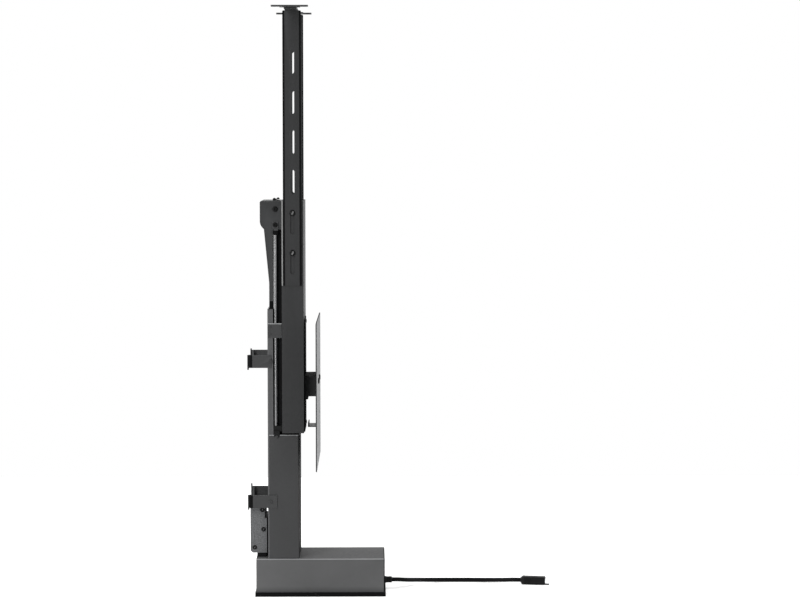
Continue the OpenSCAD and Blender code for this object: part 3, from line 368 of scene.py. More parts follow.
COATS = {
    "black_coat": powder_coat("black_coat", (0.02, 0.0203, 0.021), 0.52, 0.00012, specular=0.3),
    "base_coat": powder_coat("base_coat", (0.076, 0.0765, 0.0775), 0.65, 0.00014, specular=0.16, gloss=0.0),
    "end_coat": powder_coat("end_coat", (0.0026, 0.0027, 0.0029), 0.7, 0.00012, specular=0.06, gloss=0.0),
    "carriage_coat": powder_coat("carriage_coat", (0.0165, 0.0168, 0.0174), 0.56, 0.0001, specular=0.2),
    "black_screws": plated_black("black_screws"),
    "bright_screws": plated_black("bright_screws"),
    "glide_plastic": moulded_plastic("glide_plastic", (0.42, 0.41, 0.38), 0.42),
    "textured_case": crinkle_coat("textured_case", (0.078, 0.08, 0.083)),
    "pad_rubber": ribbed_rubber("pad_rubber"),
    "steel": drawn_steel("steel", (0.5, 0.51, 0.52), 0.32),
    "belt_rubber": belt_rubber("belt_rubber"),
    "black_rod": ground_rod("black_rod"),
    "nut_brass": drawn_steel("nut_brass", (0.62, 0.45, 0.2), 0.3, (0.05, 0.05, 1)),
    "board": board_mask("board"),
    "black_plastic": moulded_plastic("black_plastic", (0.0035, 0.0036, 0.0038), 0.4, specular=0.12),
    "cord_rubber": jacket("cord_rubber"),
    "connector_metal": drawn_steel("connector_metal", (0.82, 0.83, 0.84), 0.3, (0.05, 1, 1)),
}

# Painted shade and light on the base's walls: darker near the floor, and lighter at the rear end, falling off
# towards the front
shade_along(COATS["base_coat"], "Z", 5 * MM, 20 * MM, 0.45, 1.0)
shade_along(COATS["base_coat"], "X", -137 * MM, 135 * MM, 1.1, 0.94)

# Second coats, for one face or one piece of a kind
EXTRA_COATS = {
    "screen_coat": powder_coat("screen_coat", (0.078, 0.08, 0.083), 0.45, 0.0001, specular=0.35),
    "upright_coat": powder_coat("upright_coat", (0.046, 0.0465, 0.048), 0.42, 0.00012, specular=0.35),
    "bracket_coat": powder_coat("bracket_coat", (0.0172, 0.0177, 0.0184), 0.5, 0.00012, specular=0.22,
                                gloss=0.03),
    # Pale coat that paints a highlight on rounded edges, folds and tops
    "painted_edge_highlight": powder_coat("painted_edge_highlight", (0.2, 0.203, 0.207), 0.4, 0.00005, specular=0.5),
    "block_coat": powder_coat("block_coat", (0.011, 0.0112, 0.0116), 0.6, 0.00012, specular=0.1, gloss=0.0),
    "matt_black": moulded_plastic("matt_black", (0.0022, 0.0022, 0.0023), 0.9, specular=0.0),
    # Pale coat for the strips that paint the highlight behind the legs
    "painted_highlight_strip": moulded_plastic("painted_highlight_strip", (0.24, 0.24, 0.238), 0.6),
    # Pale coat for screw recesses: a painted glint
    "painted_glint_slot": moulded_plastic("painted_glint_slot", (0.13, 0.13, 0.13), 0.5),
}
# The inner stage takes the near-black end coat as painted shade, for the deep shade of the recess behind the
# rods
OWN_COAT = {"screen_plate": "screen_coat", "rear_upright": "upright_coat", "top_bracket": "bracket_coat",
            "front_plate": "end_coat", "bottom_plate": "end_coat", "inner_stage": "end_coat",
            "screen_mount_block": "block_coat", "screen_ledge": "screen_coat"}


# Forms with painted shade, in the end coat: a black band along their rear or front edge, a dark front or top,
# or a dark rim round a pale face; and forms with a painted highlight along a fold or a top
PAINTED_SHADE_REAR_BANDS = {"pole_leg_left": 4 * MM, "pole_leg_right": 4 * MM, "upper_hook_left": 10 * MM,
              "lower_hook_left": 10 * MM, "upper_hook_right": 3 * MM, "lower_hook_right": 3 * MM}
PAINTED_SHADE_FRONT_BANDS = {"pole_leg_left": 4 * MM, "pole_leg_right": 2 * MM}
PAINTED_SHADE_FRONTS = ["column_cover"]
PAINTED_SHADE_TOPS = ["screen_mount_block"]
PAINTED_HIGHLIGHT_FOLD = ["base_cover"]
PAINTED_HIGHLIGHT_TOPS = {"rod_clips": 1.6 * MM, "column_cover": 1.4 * MM}
PAINTED_SHADE_RIMS = ["screen_plate"]
# Forms whose rounded edges take a pale coat on their bevels: a painted highlight
PAINTED_HIGHLIGHT_EDGES = ["base_cover", "rear_upright", "top_bracket", "rod_clips", "column_cover", "upper_hook_left",
             "lower_hook_left", "upper_hook_right", "lower_hook_right", "bottom_plate"]


# Mesh helpers

# How much of an axis the normal of a face has when it faces that way, leans that way or stands edge on
FACING = 0.8
LEANING = 0.35
EDGE_ON = 0.5
# Faces within the first angle are one face, and edges past the second are rounded
FLAT_ANGLE = math.radians(0.4)
SHARP_ANGLE = math.radians(38)
# Points nearer than this are one point
WELD = 0.002 * MM


def add_object(name, data, coat):
    piece = bpy.data.objects.new(name, data)
    scene.collection.objects.link(piece)
    piece.data.materials.append(COATS[coat])
    return piece


def mesh_from(name, bm, coat, body, node=None, smooth=35):
    """Turns a bmesh into a piece that rides on a body and may stand for a CAD node."""
    bmesh.ops.recalc_face_normals(bm, faces=bm.faces)
    data = bpy.data.meshes.new(name)
    bm.to_mesh(data)
    bm.free()
    for face in data.polygons:
        face.use_smooth = True
    data.set_sharp_from_angle(angle=math.radians(smooth))
    piece = add_object(name, data, coat)
    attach(piece, body)
    if node is not None:
        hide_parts(node)
    return piece


def band(bm, axis, place, side, index):
    """Gives every face beyond a place along an axis another coat, cutting the faces that cross it."""
    everything = list(bm.verts) + list(bm.edges) + list(bm.faces)
    normal = Vector(int(i == axis) for i in range(3))
    bmesh.ops.bisect_plane(bm, geom=everything, plane_co=normal * place, plane_no=normal)
    for face in bm.faces:
        if side * (face.calc_center_median()[axis] - place) > 0:
            face.material_index = index


def recoat(bm, chosen):
    """Gives the faces whose normal is of the chosen kind the second coat."""
    for face in bm.faces:
        if chosen(face.normal):
            face.material_index = 1


def folded_sheet(node, width):
    """A CAD node's own form with its sharp edges rounded, so that they catch the light; some of its faces and
    bevels take coats of painted shade or painted highlight.
    """
    source = frame["nodes"][node]
    bm = bmesh.new()
    bm.from_mesh(source.data)
    bmesh.ops.remove_doubles(bm, verts=bm.verts, dist=WELD)
    bmesh.ops.dissolve_limit(bm, angle_limit=FLAT_ANGLE, verts=bm.verts, edges=bm.edges)
    for face in bm.faces:
        face.material_index = 0
    bm.normal_update()
    # Painted shade: black bands along the rear and front edges, in the end coat
    if node in PAINTED_SHADE_REAR_BANDS:
        band(bm, 0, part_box(node)[0].x + PAINTED_SHADE_REAR_BANDS[node], -1, 1)
    if node in PAINTED_SHADE_FRONT_BANDS:
        band(bm, 0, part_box(node)[1].x - PAINTED_SHADE_FRONT_BANDS[node], 1, 1)
    # Painted shade: faces turned to the front take the near-black end coat
    if node in PAINTED_SHADE_FRONTS:
        recoat(bm, lambda normal: normal.x > FACING)
    # Painted shade: faces turned upward take the near-black end coat
    if node in PAINTED_SHADE_TOPS:
        recoat(bm, lambda normal: normal.z > FACING)
    # Painted highlight: faces of the fold between top and side take the pale coat
    if node in PAINTED_HIGHLIGHT_FOLD:
        recoat(bm, lambda normal: normal.z > LEANING and abs(normal.y) > LEANING)
    # Painted shade: the plate's edge faces take the near-black end coat
    if node in PAINTED_SHADE_RIMS:
        recoat(bm, lambda normal: abs(normal.x) < EDGE_ON)
    has_painted_shade = node in PAINTED_SHADE_REAR_BANDS or node in PAINTED_SHADE_FRONTS + PAINTED_SHADE_TOPS + PAINTED_SHADE_RIMS
    # Painted highlight: a thin band along the top takes the pale coat
    if node in PAINTED_HIGHLIGHT_TOPS:
        band(bm, 2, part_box(node)[1].z - PAINTED_HIGHLIGHT_TOPS[node], 1, 1 + has_painted_shade)
    data = bpy.data.meshes.new(node + "_form")
    bm.to_mesh(data)
    bm.free()
    for face in data.polygons:
        face.use_smooth = True
    piece = add_object(node + "_form", data, SLOT_OF[node])
    if node in OWN_COAT:
        piece.data.materials[0] = EXTRA_COATS.get(OWN_COAT[node]) or COATS[OWN_COAT[node]]
    # Painted shade coat: the near-black end coat for bands, fronts, tops and rims
    if has_painted_shade:
        piece.data.materials.append(COATS["end_coat"])
    bevel = piece.modifiers.new("edges", "BEVEL")
    bevel.width = width
    bevel.segments = 2
    bevel.limit_method = "ANGLE"
    bevel.angle_limit = SHARP_ANGLE
    bevel.use_clamp_overlap = True
    # Painted highlight: the bevels of these forms take the pale coat
    if node in PAINTED_HIGHLIGHT_EDGES:
        piece.data.materials.append(EXTRA_COATS["painted_edge_highlight"])
        bevel.material = len(piece.data.materials) - 1
    even = piece.modifiers.new("flat_faces", "WEIGHTED_NORMAL")
    even.mode = "FACE_AREA"
    even.weight = 100
    even.keep_sharp = True
    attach(piece, BODY_OF[node])
    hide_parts(node)


def ring_points(radius_at, height, count, matrix):
    """Points round an axis at a height, by a radius for each angle."""
    made = []
    for k in range(count):
        angle = 2 * math.pi * k / count
        radius = radius_at(angle)
        made.append(matrix @ Vector((radius * math.cos(angle), radius * math.sin(angle), height)))
    return made


def skin_rings(bm, rings, bright_from=None):
    """Joins rings of equal counts with quads and closes both ends; from bright_from on in the second coat."""
    rows = [[bm.verts.new(point) for point in ring] for ring in rings]
    for i, (low, high) in enumerate(zip(rows, rows[1:])):
        count = len(low)
        for k in range(count):
            made = bm.faces.new((low[k], low[(k + 1) % count], high[(k + 1) % count], high[k]))
            made.material_index = int(bright_from is not None and i >= bright_from)
    bm.faces.new(reversed(rows[0]))
    bm.faces.new(rows[-1]).material_index = int(bright_from is not None)


def along(direction, place):
    """A matrix that turns +Z onto a direction and moves the origin to a place."""
    turn = Vector((0, 0, 1)).rotation_difference(Vector(direction)).to_matrix().to_4x4()
    return Matrix.Translation(Vector(place)) @ turn


def hexagon(across):
    """The radius of a hexagon, by angle, from its size across the flats."""
    def radius(angle):
        return across / 2 / math.cos((angle % (math.pi / 3)) - math.pi / 6)
    return radius


def cross(length, width):
    """The radius of a cross-shaped recess, by angle."""
    def radius(angle):
        near = abs((angle + math.pi / 4) % (math.pi / 2) - math.pi / 4)
        side = width / 2 / max(math.sin(near), 1e-6)
        end = length / 2 / math.cos(near)
        return min(side, end)
    return radius


def circle(r):
    return lambda angle: r


def slotted(length, width, turn):
    """The radius of a straight slot, by angle, turned by an angle."""
    def radius(angle):
        near = abs((angle - turn + math.pi / 2) % math.pi - math.pi / 2)
        side = width / 2 / max(math.sin(near), 1e-6)
        end = length / 2 / max(math.cos(near), 0.25)
        return min(side, end)
    return radius


RECESSES = {
    "hex": lambda d: hexagon(d * 0.46),
    "cross": lambda d: cross(d * 0.62, d * 0.19),
    "slot": lambda d: slotted(d * 0.42, d * 0.14, math.radians(65)),
    "wide_slot": lambda d: slotted(d * 0.6, d * 0.3, math.radians(66)),
}


def screw_head(bm, place, direction, head_d, head_h, drive, shank_d, shank_l):
    """A round-topped screw: a shank into the part, a washer's rim, and a head with a recess."""
    matrix = along(direction, place)
    count = 48
    r = head_d / 2
    recess = RECESSES[drive](head_d)
    rim = head_h * 0.3
    lip = 0.12 * MM
    body = [(shank_d / 2, -shank_l), (shank_d / 2, 0), (r - lip, 0), (r, lip), (r, rim), (r - lip, rim + lip),
            (r * 0.9, rim + lip), (r * 0.9, head_h * 0.62), (r * 0.84, head_h * 0.88), (r * 0.72, head_h)]
    rings = [ring_points(circle(a), h, count, matrix) for a, h in body]
    rings.append(ring_points(lambda angle: recess(angle) * 1.06, head_h, count, matrix))
    # From here on the recess takes the second coat, a pale painted glint on the screws that ask for it
    bright_from = len(rings) - 1
    rings.append(ring_points(recess, head_h - lip, count, matrix))
    rings.append(ring_points(lambda angle: recess(angle) * 0.94, head_h * 0.42, count, matrix))
    rings.append(ring_points(lambda angle: recess(angle) * 0.2, head_h * 0.34, count, matrix))
    skin_rings(bm, rings, bright_from)


def islands(node):
    """The boxes of a node's separate solids."""
    bm = bmesh.new()
    bm.from_mesh(frame["nodes"][node].data)
    bmesh.ops.remove_doubles(bm, verts=bm.verts, dist=WELD)
    left = set(bm.verts)
    boxes = []
    while left:
        front = [left.pop()]
        members = []
        while front:
            vert = front.pop()
            members.append(vert.co.copy())
            for edge in vert.link_edges:
                other = edge.other_vert(vert)
                if other in left:
                    left.remove(other)
                    front.append(other)
        boxes.append((Vector(min(p[i] for p in members) for i in range(3)),
                      Vector(max(p[i] for p in members) for i in range(3))))
    bm.free()
    return sorted(boxes, key=lambda box: tuple(box[0]))


# The room under a screw's head, so that it touches nothing as the pole slides past
SEAT_ROOM = 0.06 * MM


def screw_set(node, facing, head_heights, drive, shank_share, bright=False, coat=None):
    """Detailed screws in the places of a node's plain ones, each of its own size."""
    bm = bmesh.new()
    for low, high in islands(node):
        centre = (low + high) / 2
        head_d = high.z - low.z
        head_h = min(head_heights, key=lambda pair: abs(pair[0] * MM - head_d))[1] * MM
        if facing == "front":
            direction = Vector((1, 0, 0))
            tip = Vector((high.x, centre.y, centre.z))
            length = high.x - low.x
        else:
            side = math.copysign(1, centre.y) if facing == "both" else -1
            direction = Vector((0, side, 0))
            tip = Vector((centre.x, high.y if side > 0 else low.y, centre.z))
            length = high.y - low.y
        seat = head_h - SEAT_ROOM
        screw_head(bm, tip - direction * seat, direction, head_d, seat, drive, head_d * shank_share,
                   length - seat)
    piece = mesh_from(node + "_set", bm, SLOT_OF[node], BODY_OF[node], node)
    if coat:
        piece.data.materials[0] = COATS[coat]
    # The recesses' second coat: the pale painted glint, or else the head's own coat
    piece.data.materials.append(EXTRA_COATS["painted_glint_slot"] if bright else piece.data.materials[0])


# Cord

CORD_D = 8.8 * MM
CORD_ROUTE = [Vector(p) * MM for p in [
    (150, 20, 17.3), (154, 20, 17.3), (163, 21.5, 16.9), (175, 27.6, 15.1), (188, 38, 12.7),
    (201, 49.5, 10.4), (215, 60.5, 8.1), (230, 69.5, 6.2), (246, 75.5, 5), (264, 78, 4.5),
    (284, 78, 4.5), (306, 77.5, 4.5), (328, 76, 4.6), (348, 73, 5), (366, 69, 5.8),
    (382, 64.5, 6.8), (395, 60.5, 7.8), (405, 58, 8.3), (414, 56.5, 8.3)]]
GLAND_LENGTH = 15 * MM
CONNECTOR_LENGTH = 51 * MM


def smooth_route(points, steps):
    """Points along a smooth curve that passes through every point of a route."""
    made = []
    last = len(points) - 1
    for i in range(last):
        before = points[max(i - 1, 0)]
        here = points[i]
        there = points[i + 1]
        after = points[min(i + 2, last)]
        for k in range(steps):
            t = k / steps
            made.append(0.5 * (2 * here + (there - before) * t
                               + (2 * before - 5 * here + 4 * there - after) * t ** 2
                               + (3 * here - 3 * there + after - before) * t ** 3))
    made.append(points[last])
    return made


def make_cord():
    data = bpy.data.curves.new("cord_jacket", "CURVE")
    data.dimensions = "3D"
    data.bevel_depth = CORD_D / 2
    data.bevel_resolution = 6
    data.use_fill_caps = True
    points = smooth_route(CORD_ROUTE, 5)
    spline = data.splines.new("POLY")
    spline.points.add(len(points) - 1)
    for slot, point in zip(spline.points, points):
        slot.co = (*point, 1)
    spline.use_smooth = True
    piece = add_object("cord_jacket", data, "cord_rubber")
    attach(piece, "base")
    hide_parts("cord")
    return piece


def make_gland():
    """The strain relief: a collar on the base's end and a ribbed, tapering sleeve."""
    start = CORD_ROUTE[0]
    matrix = along((1, 0, 0), start - Vector((GLAND_LENGTH, 0, 0)))
    profile = [(6.0, -5.9), (6.0, -0.1), (6.7, 0.0), (7.0, 0.4), (7.0, 3.5), (6.8, 3.9), (6.6, 4.1)]
    ribs = 4
    rib_pitch = 2.3
    for i in range(ribs):
        z = 4.6 + i * rib_pitch
        profile += [(5.9, z), (5.9, z + 0.5), (6.7, z + 0.7), (6.7, z + 1.9)]
    profile += [(6.4, 14.2), (5.6, 14.8), (4.7, 15.0)]
    bm = bmesh.new()
    skin_rings(bm, [ring_points(circle(r * MM), h * MM, 48, matrix) for r, h in profile])
    mesh_from("gland_sleeve", bm, "black_plastic", "base", "cord_gland", 30)


CORNER_POINTS = 6


def rounded_ring(half_w, half_h, r, x, matrix):
    """A rectangle with round corners, square to the connector's length."""
    made = []
    step = 90 / (CORNER_POINTS - 1)
    for sy, sz, start in ((1, 1, 0), (-1, 1, 90), (-1, -1, 180), (1, -1, 270)):
        for k in range(CORNER_POINTS):
            angle = math.radians(start + step * k)
            made.append(matrix @ Vector((x, sy * (half_w - r) + r * math.cos(angle), sz * (half_h - r)
                                         + r * math.sin(angle))))
    return made


def connector_matrix():
    last = CORD_ROUTE[-1] - CORD_ROUTE[-2]
    turn = Matrix.Rotation(math.atan2(last.y, last.x), 4, "Z")
    return Matrix.Translation(CORD_ROUTE[-1]) @ turn


def box_into(bm, low, high, matrix, edge):
    """A block between two corners, its edges cut by a small amount."""
    made = bmesh.ops.create_cube(bm, size=1)["verts"]
    centre = (Vector(low) + Vector(high)) / 2
    size = Vector(high) - Vector(low)
    for vert in made:
        vert.co = matrix @ (centre + Vector(vert.co[i] * size[i] for i in range(3)))
    edges = list(dict.fromkeys(e for vert in made for e in vert.link_edges))
    bmesh.ops.bevel(bm, geom=edges, offset=edge, segments=2, affect="EDGES", profile=0.7)


def make_connector():
    """The connector's moulded body, with a ribbed neck, grip grooves and a latch below."""
    matrix = connector_matrix()
    half_w = 9.3
    half_h = 8.3
    grooves = 6
    groove_pitch = 2.6
    stations = [(0, 4.9, 4.9, 4.8), (0.6, 5.6, 5.6, 5.4), (1.4, 6.6, 6.4, 5.6), (2.4, 7.8, 7.2, 5),
                (3.2, 8.8, 7.9, 3.8), (4.4, half_w, half_h, 3)]
    for i in range(grooves):
        x = 9 + i * groove_pitch
        stations += [(x, half_w, half_h, 3), (x + 0.3, half_w - 0.6, half_h - 0.1, 3),
                     (x + 1.1, half_w - 0.6, half_h - 0.1, 3), (x + 1.4, half_w, half_h, 3)]
    stations += [(34, half_w, half_h, 3), (35, half_w - 0.4, half_h - 0.2, 3),
                 (49.6, half_w - 0.4, half_h - 0.2, 3),
                 (50.7, half_w - 1.0, half_h - 0.8, 2.6), (51, half_w - 1.7, half_h - 1.5, 2)]
    bm = bmesh.new()
    skin_rings(bm, [rounded_ring(w * MM, h * MM, r * MM, x * MM, matrix) for x, w, h, r in stations])
    tongue = [((50, -3, -8.3), (59, 3, -6.7)), ((50, -3, -8.3), (53, 3, -4.8)),
              ((56, -3, -8.3), (59, 3, -6.1))]
    for low, high in tongue:
        box_into(bm, Vector(low) * MM, Vector(high) * MM, matrix, 0.3 * MM)
    return mesh_from("connector_housing", bm, "black_plastic", "base", "connector_body", 28)


def make_connector_nose():
    """The plug end: a metal shell with a cavity of contacts."""
    matrix = connector_matrix() @ Matrix.Translation((CONNECTOR_LENGTH, 0, 0))
    shell = [(0, 6.5, 5, 1.4), (11.4, 6.5, 5, 1.4), (12, 6.1, 4.6, 1.2), (12, 5.2, 3.7, 0.9),
             (2.5, 5.2, 3.7, 0.9)]
    bm = bmesh.new()
    skin_rings(bm, [rounded_ring(w * MM, h * MM, r * MM, x * MM, matrix) for x, w, h, r in shell])
    contacts = 4
    contact_pitch = 2.4
    for i in range(contacts):
        y = (i - (contacts - 1) / 2) * contact_pitch
        box_into(bm, Vector((2.5, y - 0.5, -0.6)) * MM, Vector((10.8, y + 0.5, 0.6)) * MM, matrix, 0.1 * MM)
    return mesh_from("connector_shell", bm, "connector_metal", "base", "connector_nose", 30)


make_camera()
cord_piece = make_cord()
make_gland()
connector_piece = make_connector()
nose_piece = make_connector_nose()


# Sheet metal, castings and plastic parts, with rounded edges

EDGE_WIDTHS = {
    1.2 * MM: ["rear_upright", "carriage", "top_bracket", "gearmotor_pad"],
    1.5 * MM: ["base_cover"],
    0.9 * MM: ["gearmotor_case", "power_supply", "column_cover"],
    0.7 * MM: ["inner_stage", "screen_mount_block"],
    0.5 * MM: ["bottom_plate", "base_end_plate", "upper_hook_left", "upper_hook_right", "lower_hook_left",
               "lower_hook_right", "rod_clips", "rod_brackets", "pole_leg_left", "pole_leg_right",
               "lid_cross_plate", "lid_strips", "screen_plate", "front_plate",
               "screen_ledge", "carriage_crossbar", "belt_anchors", "nut_bridge", "column_foot",
               "carriage_rails", "rod_guide_blocks", "column_glides", "stage_glides", "stage_sliders",
               "gearmotor_side_cover", "belt_pulleys", "spindle_nut", "motor"],
}

for width, nodes in EDGE_WIDTHS.items():
    for node in nodes:
        folded_sheet(node, width)

for node, cad in frame["nodes"].items():
    cad.data.materials.clear()
    cad.data.materials.append(COATS[SLOT_OF[node]])


# Screws, each in the place of a plain one. A pair is a head's diameter and its height in millimetres.

screw_set("base_screws", "both", [(5.5, 1.4)], "cross", 0.5)
screw_set("clip_screws", "both", [(5, 0.8), (6, 1.2)], "cross", 0.5, coat="black_coat")
screw_set("hook_bolts", "both", [(8, 1.4)], "hex", 0.6, coat="black_coat")
screw_set("gearmotor_screws", "left", [(9, 2.2)], "slot", 0.34, bright=True)
screw_set("bracket_screws", "both", [(10, 2.6), (11, 2.6)], "hex", 0.36)
screw_set("screen_bolts", "front", [(12, 3), (8, 1.2)], "hex", 0.5)
screw_set("pole_screws", "both", [(11.5, 3)], "wide_slot", 0.42, bright=True)


# Guide rods, pale strips behind the legs as a painted highlight, and a riveted strap on the bracket

def make_rods():
    """The two guide rods: ground bars with a pointed foot, and a block near the top."""
    radius = 3.5 * MM
    point = 5 * MM
    seat = 2.5 * MM
    block_h = 9 * MM
    bm = bmesh.new()
    rods = islands("guide_rods")
    for low, high in rods:
        centre = (low + high) / 2
        matrix = Matrix.Translation((centre.x, centre.y, 0))
        profile = [(radius - 1.5 * MM, low.z), (radius, low.z + point), (radius, high.z - 0.3 * MM),
                   (radius - 0.3 * MM, high.z)]
        skin_rings(bm, [ring_points(circle(r), z, 64, matrix) for r, z in profile])
    bars = set(bm.faces)
    for low, high in rods:
        box_into(bm, (low.x, low.y, high.z - seat - block_h), (high.x, high.y, high.z - seat), Matrix(),
                 0.4 * MM)
    for face in set(bm.faces) - bars:
        face.material_index = 1
    piece = mesh_from("guide_bars", bm, "black_rod", BODY_OF["guide_rods"], "guide_rods")
    piece.data.materials.append(COATS["end_coat"])


def make_highlight_strips():
    """Pale strips on the carriage's sides, just behind the legs' rear edges: a painted highlight for the
    bright line there.
    """
    leg_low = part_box("pole_leg_left")[0]
    low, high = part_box("carriage")
    bm = bmesh.new()
    for side in (-1, 1):
        outer = side * (high.y + 0.8 * MM)
        inner = side * high.y
        box_into(bm, (low.x + 0.2 * MM, min(inner, outer), leg_low.z),
                 (leg_low.x - 0.5 * MM, max(inner, outer), high.z), Matrix(), 0.2 * MM)
    piece = mesh_from("carriage_highlight_strips", bm, "glide_plastic", BODY_OF["carriage"])
    piece.data.materials[0] = EXTRA_COATS["painted_highlight_strip"]


def make_strap():
    """A small folded strap with two rivets, on top of the bracket's left side."""
    low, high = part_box("top_bracket")
    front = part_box("carriage")[0].x - 4 * MM
    rear = front - 14 * MM
    y = low.y + 10 * MM
    half_w = 5 * MM
    thick = 1.6 * MM
    seat = 1.5 * MM
    slope = math.radians(-7)
    edge = 0.3 * MM
    bm = bmesh.new()
    tilt = Matrix.Translation((rear, y, high.z + seat)) @ Matrix.Rotation(slope, 4, "Y")
    for x in (3.2 * MM, 10.8 * MM):
        turn = tilt @ Matrix.Translation((x, 0, seat))
        profile = [(2.6, 0), (2.6, 0.9), (2.0, 1.7), (0.8, 2.1)]
        skin_rings(bm, [ring_points(circle(r * MM), h * MM, 24, turn) for r, h in profile])
    box_into(bm, (rear, y - half_w, high.z - 0.2 * MM), (front, y + half_w, high.z + thick), Matrix(),
             edge)
    box_into(bm, (0, -half_w, 0), (13.5 * MM, half_w, thick), tilt, edge)
    piece = mesh_from("bracket_strap", bm, "black_coat", BODY_OF["top_bracket"])
    piece.data.materials[0] = EXTRA_COATS["matt_black"]


make_rods()
make_highlight_strips()
make_strap()


# Lifting belts, with teeth on the side that meets the pulley

TOOTH_PITCH = 5 * MM
BELT_Y = 25 * MM
BELT_W = 12 * MM
# How far the gaps between the teeth lie from the back, as a share of the belt's thickness
TOOTH_ROOT = 0.55


def toothed_strip(bm, y, back_x, tooth_x, low, high):
    """A belt run up z: a smooth back at back_x, and a row of teeth at tooth_x."""
    root_x = back_x + (tooth_x - back_x) * TOOTH_ROOT
    outline = [(tooth_x, low)]
    count = int((high - low) / TOOTH_PITCH)
    for i in range(count):
        z = low + i * TOOTH_PITCH
        outline += [(tooth_x, z + 2.0 * MM), (root_x, z + 2.6 * MM), (root_x, z + 4.4 * MM),
                    (tooth_x, z + TOOTH_PITCH)]
    outline.append((tooth_x, high))
    sides = []
    for side in (-1, 1):
        front = [bm.verts.new((x, y + side * BELT_W / 2, z)) for x, z in outline]
        rear = [bm.verts.new((back_x, y + side * BELT_W / 2, z)) for x, z in outline]
        sides.append((front, rear))
        for k in range(len(outline) - 1):
            bm.faces.new((front[k], front[k + 1], rear[k + 1], rear[k]))
    for k in range(len(outline) - 1):
        bm.faces.new((sides[0][0][k], sides[0][0][k + 1], sides[1][0][k + 1], sides[1][0][k]))
        bm.faces.new((sides[0][1][k], sides[0][1][k + 1], sides[1][1][k + 1], sides[1][1][k]))
    for end in (0, -1):
        bm.faces.new((sides[0][0][end], sides[1][0][end], sides[1][1][end], sides[0][1][end]))


def belt_run(name, node, teeth_forward):
    """Both belts' straight runs on one side of the pulleys."""
    low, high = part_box(node)
    bm = bmesh.new()
    back_x, tooth_x = (low.x, high.x) if teeth_forward else (high.x, low.x)
    for side in (-1, 1):
        toothed_strip(bm, side * BELT_Y, back_x, tooth_x, low.z, high.z)
    bmesh.ops.recalc_face_normals(bm, faces=bm.faces)
    data = bpy.data.meshes.new(name)
    bm.to_mesh(data)
    bm.free()
    piece = add_object(name, data, "belt_rubber")
    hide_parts(node)
    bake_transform(piece)


belt_run("rear_belts", "belt_rear_runs", True)
belt_run("front_belts", "belt_front_runs", False)


# Spindle with a four-start thread

THREAD_PITCH = 5 * MM
THREAD_STARTS = 4
THREAD_DEPTH = 1 * MM
# The height between two rings of the thread's mesh
THREAD_STEP = 0.9 * MM


def thread_radius(core, crest, turn, z):
    """A trapezoid thread's radius at a share of a turn and a height."""
    phase = (z / THREAD_PITCH - turn * THREAD_STARTS) % 1
    flank = 0.2
    falls = 0.5
    if phase < flank:
        share = phase / flank
    elif phase < falls:
        share = 1
    elif phase < falls + flank:
        share = 1 - (phase - falls) / flank
    else:
        share = 0
    return core + (crest - core) * share


def make_spindle():
    low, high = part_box("spindle")
    centre = (low + high) / 2
    crest = (high.x - low.x) / 2 - 0.05 * MM
    core = crest - THREAD_DEPTH
    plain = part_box("spindle_pulley")[1].z + 4 * MM
    matrix = Matrix.Translation((centre.x, centre.y, 0))
    journal = 4 * MM
    sides = 32
    shoulder = plain - 4 * MM
    turned = [(journal, low.z), (journal, shoulder), (crest, shoulder), (crest, plain)]
    rings = [ring_points(circle(r), z, sides, matrix) for r, z in turned]
    z = plain + 1 * MM
    while z < high.z - 4 * MM:
        rings.append(ring_points(lambda a: thread_radius(core, crest, a / (2 * math.pi), z), z, sides,
                                 matrix))
        z += THREAD_STEP
    rings.append(ring_points(circle(core), high.z - 3 * MM, sides, matrix))
    rings.append(ring_points(circle(core - 1 * MM), high.z, sides, matrix))
    bm = bmesh.new()
    skin_rings(bm, rings)
    mesh_from("spindle_thread", bm, "steel", "spindle_unit", "spindle", 40)


make_spindle()


# Floor, background and light

FLOOR_HALF = 1.5
FLOOR_DROP = 0.2 * MM
WORLD_LIGHT = 0.38


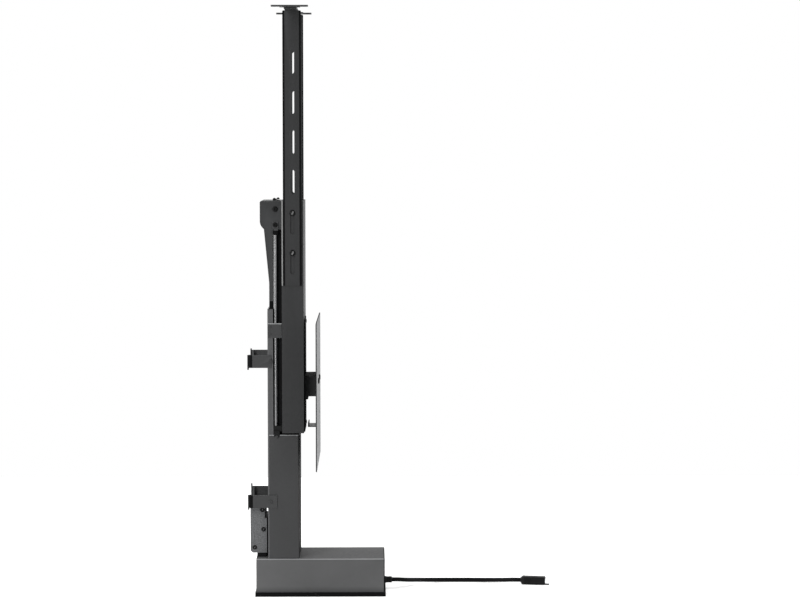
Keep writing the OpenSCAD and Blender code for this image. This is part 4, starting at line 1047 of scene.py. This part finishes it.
def make_floor():
    bm = bmesh.new()
    bmesh.ops.create_grid(bm, x_segments=2, y_segments=2, size=FLOOR_HALF)
    data = bpy.data.meshes.new("floor")
    bm.to_mesh(data)
    bm.free()
    floor = bpy.data.objects.new("floor", data)
    data.materials.append(pale_floor("floor_paper"))
    floor.location = (0, 0, -FLOOR_DROP)
    scene.collection.objects.link(floor)


def make_world():
    """White where the camera or a gloss looks past the object, a soft grey as light."""
    world = bpy.data.worlds.new("studio")
    world.use_nodes = True
    scene.world = world
    nodes = world.node_tree.nodes
    links = world.node_tree.links
    back = nodes["Background"]
    back.inputs["Color"].default_value = (1, 1, 1, 1)
    strength = nodes.new("ShaderNodeMapRange")
    strength.inputs["To Min"].default_value = WORLD_LIGHT
    strength.inputs["To Max"].default_value = 1.0
    links.new(seen_directly(nodes, links), strength.inputs["Value"])
    links.new(strength.outputs["Result"], back.inputs["Strength"])


# Each lamp's place, the point that it aims at, its size in metres and its power in watts
MIDDLE = (0, 0, 0.6)
LAMPS = {
    "key": ((-2.0, -2.6, 2.4), MIDDLE, (0.7, 1.8), 60),
    "front_strip": ((-0.95, -1.9, 0.45), (-0.1, 0, 0.3), (0.2, 1.4), 13),
    "fill": ((2.4, -2.8, 1.2), MIDDLE, (1.6, 2.0), 22),
    "left_strip": ((-2.2, 0.5, 1.0), MIDDLE, (0.6, 2.4), 50),
    "right_strip": ((2.2, 0.9, 1.0), MIDDLE, (0.6, 2.4), 40),
    "top": ((0.2, 0.4, 3.0), MIDDLE, (1.8, 1.8), 18),
}


def area_light(name, place, target, size, power):
    data = bpy.data.lights.new(name, "AREA")
    data.shape = "RECTANGLE"
    data.size, data.size_y = size
    data.energy = power
    lamp = bpy.data.objects.new(name, data)
    lamp.location = place
    aim = Vector(target) - Vector(place)
    lamp.rotation_euler = aim.to_track_quat("-Z", "Y").to_euler()
    lamp.visible_camera = False
    scene.collection.objects.link(lamp)


def make_lights():
    for name, lamp in LAMPS.items():
        area_light(name, *lamp)


make_floor()
make_world()
make_lights()
scene.view_settings.view_transform = "Standard"
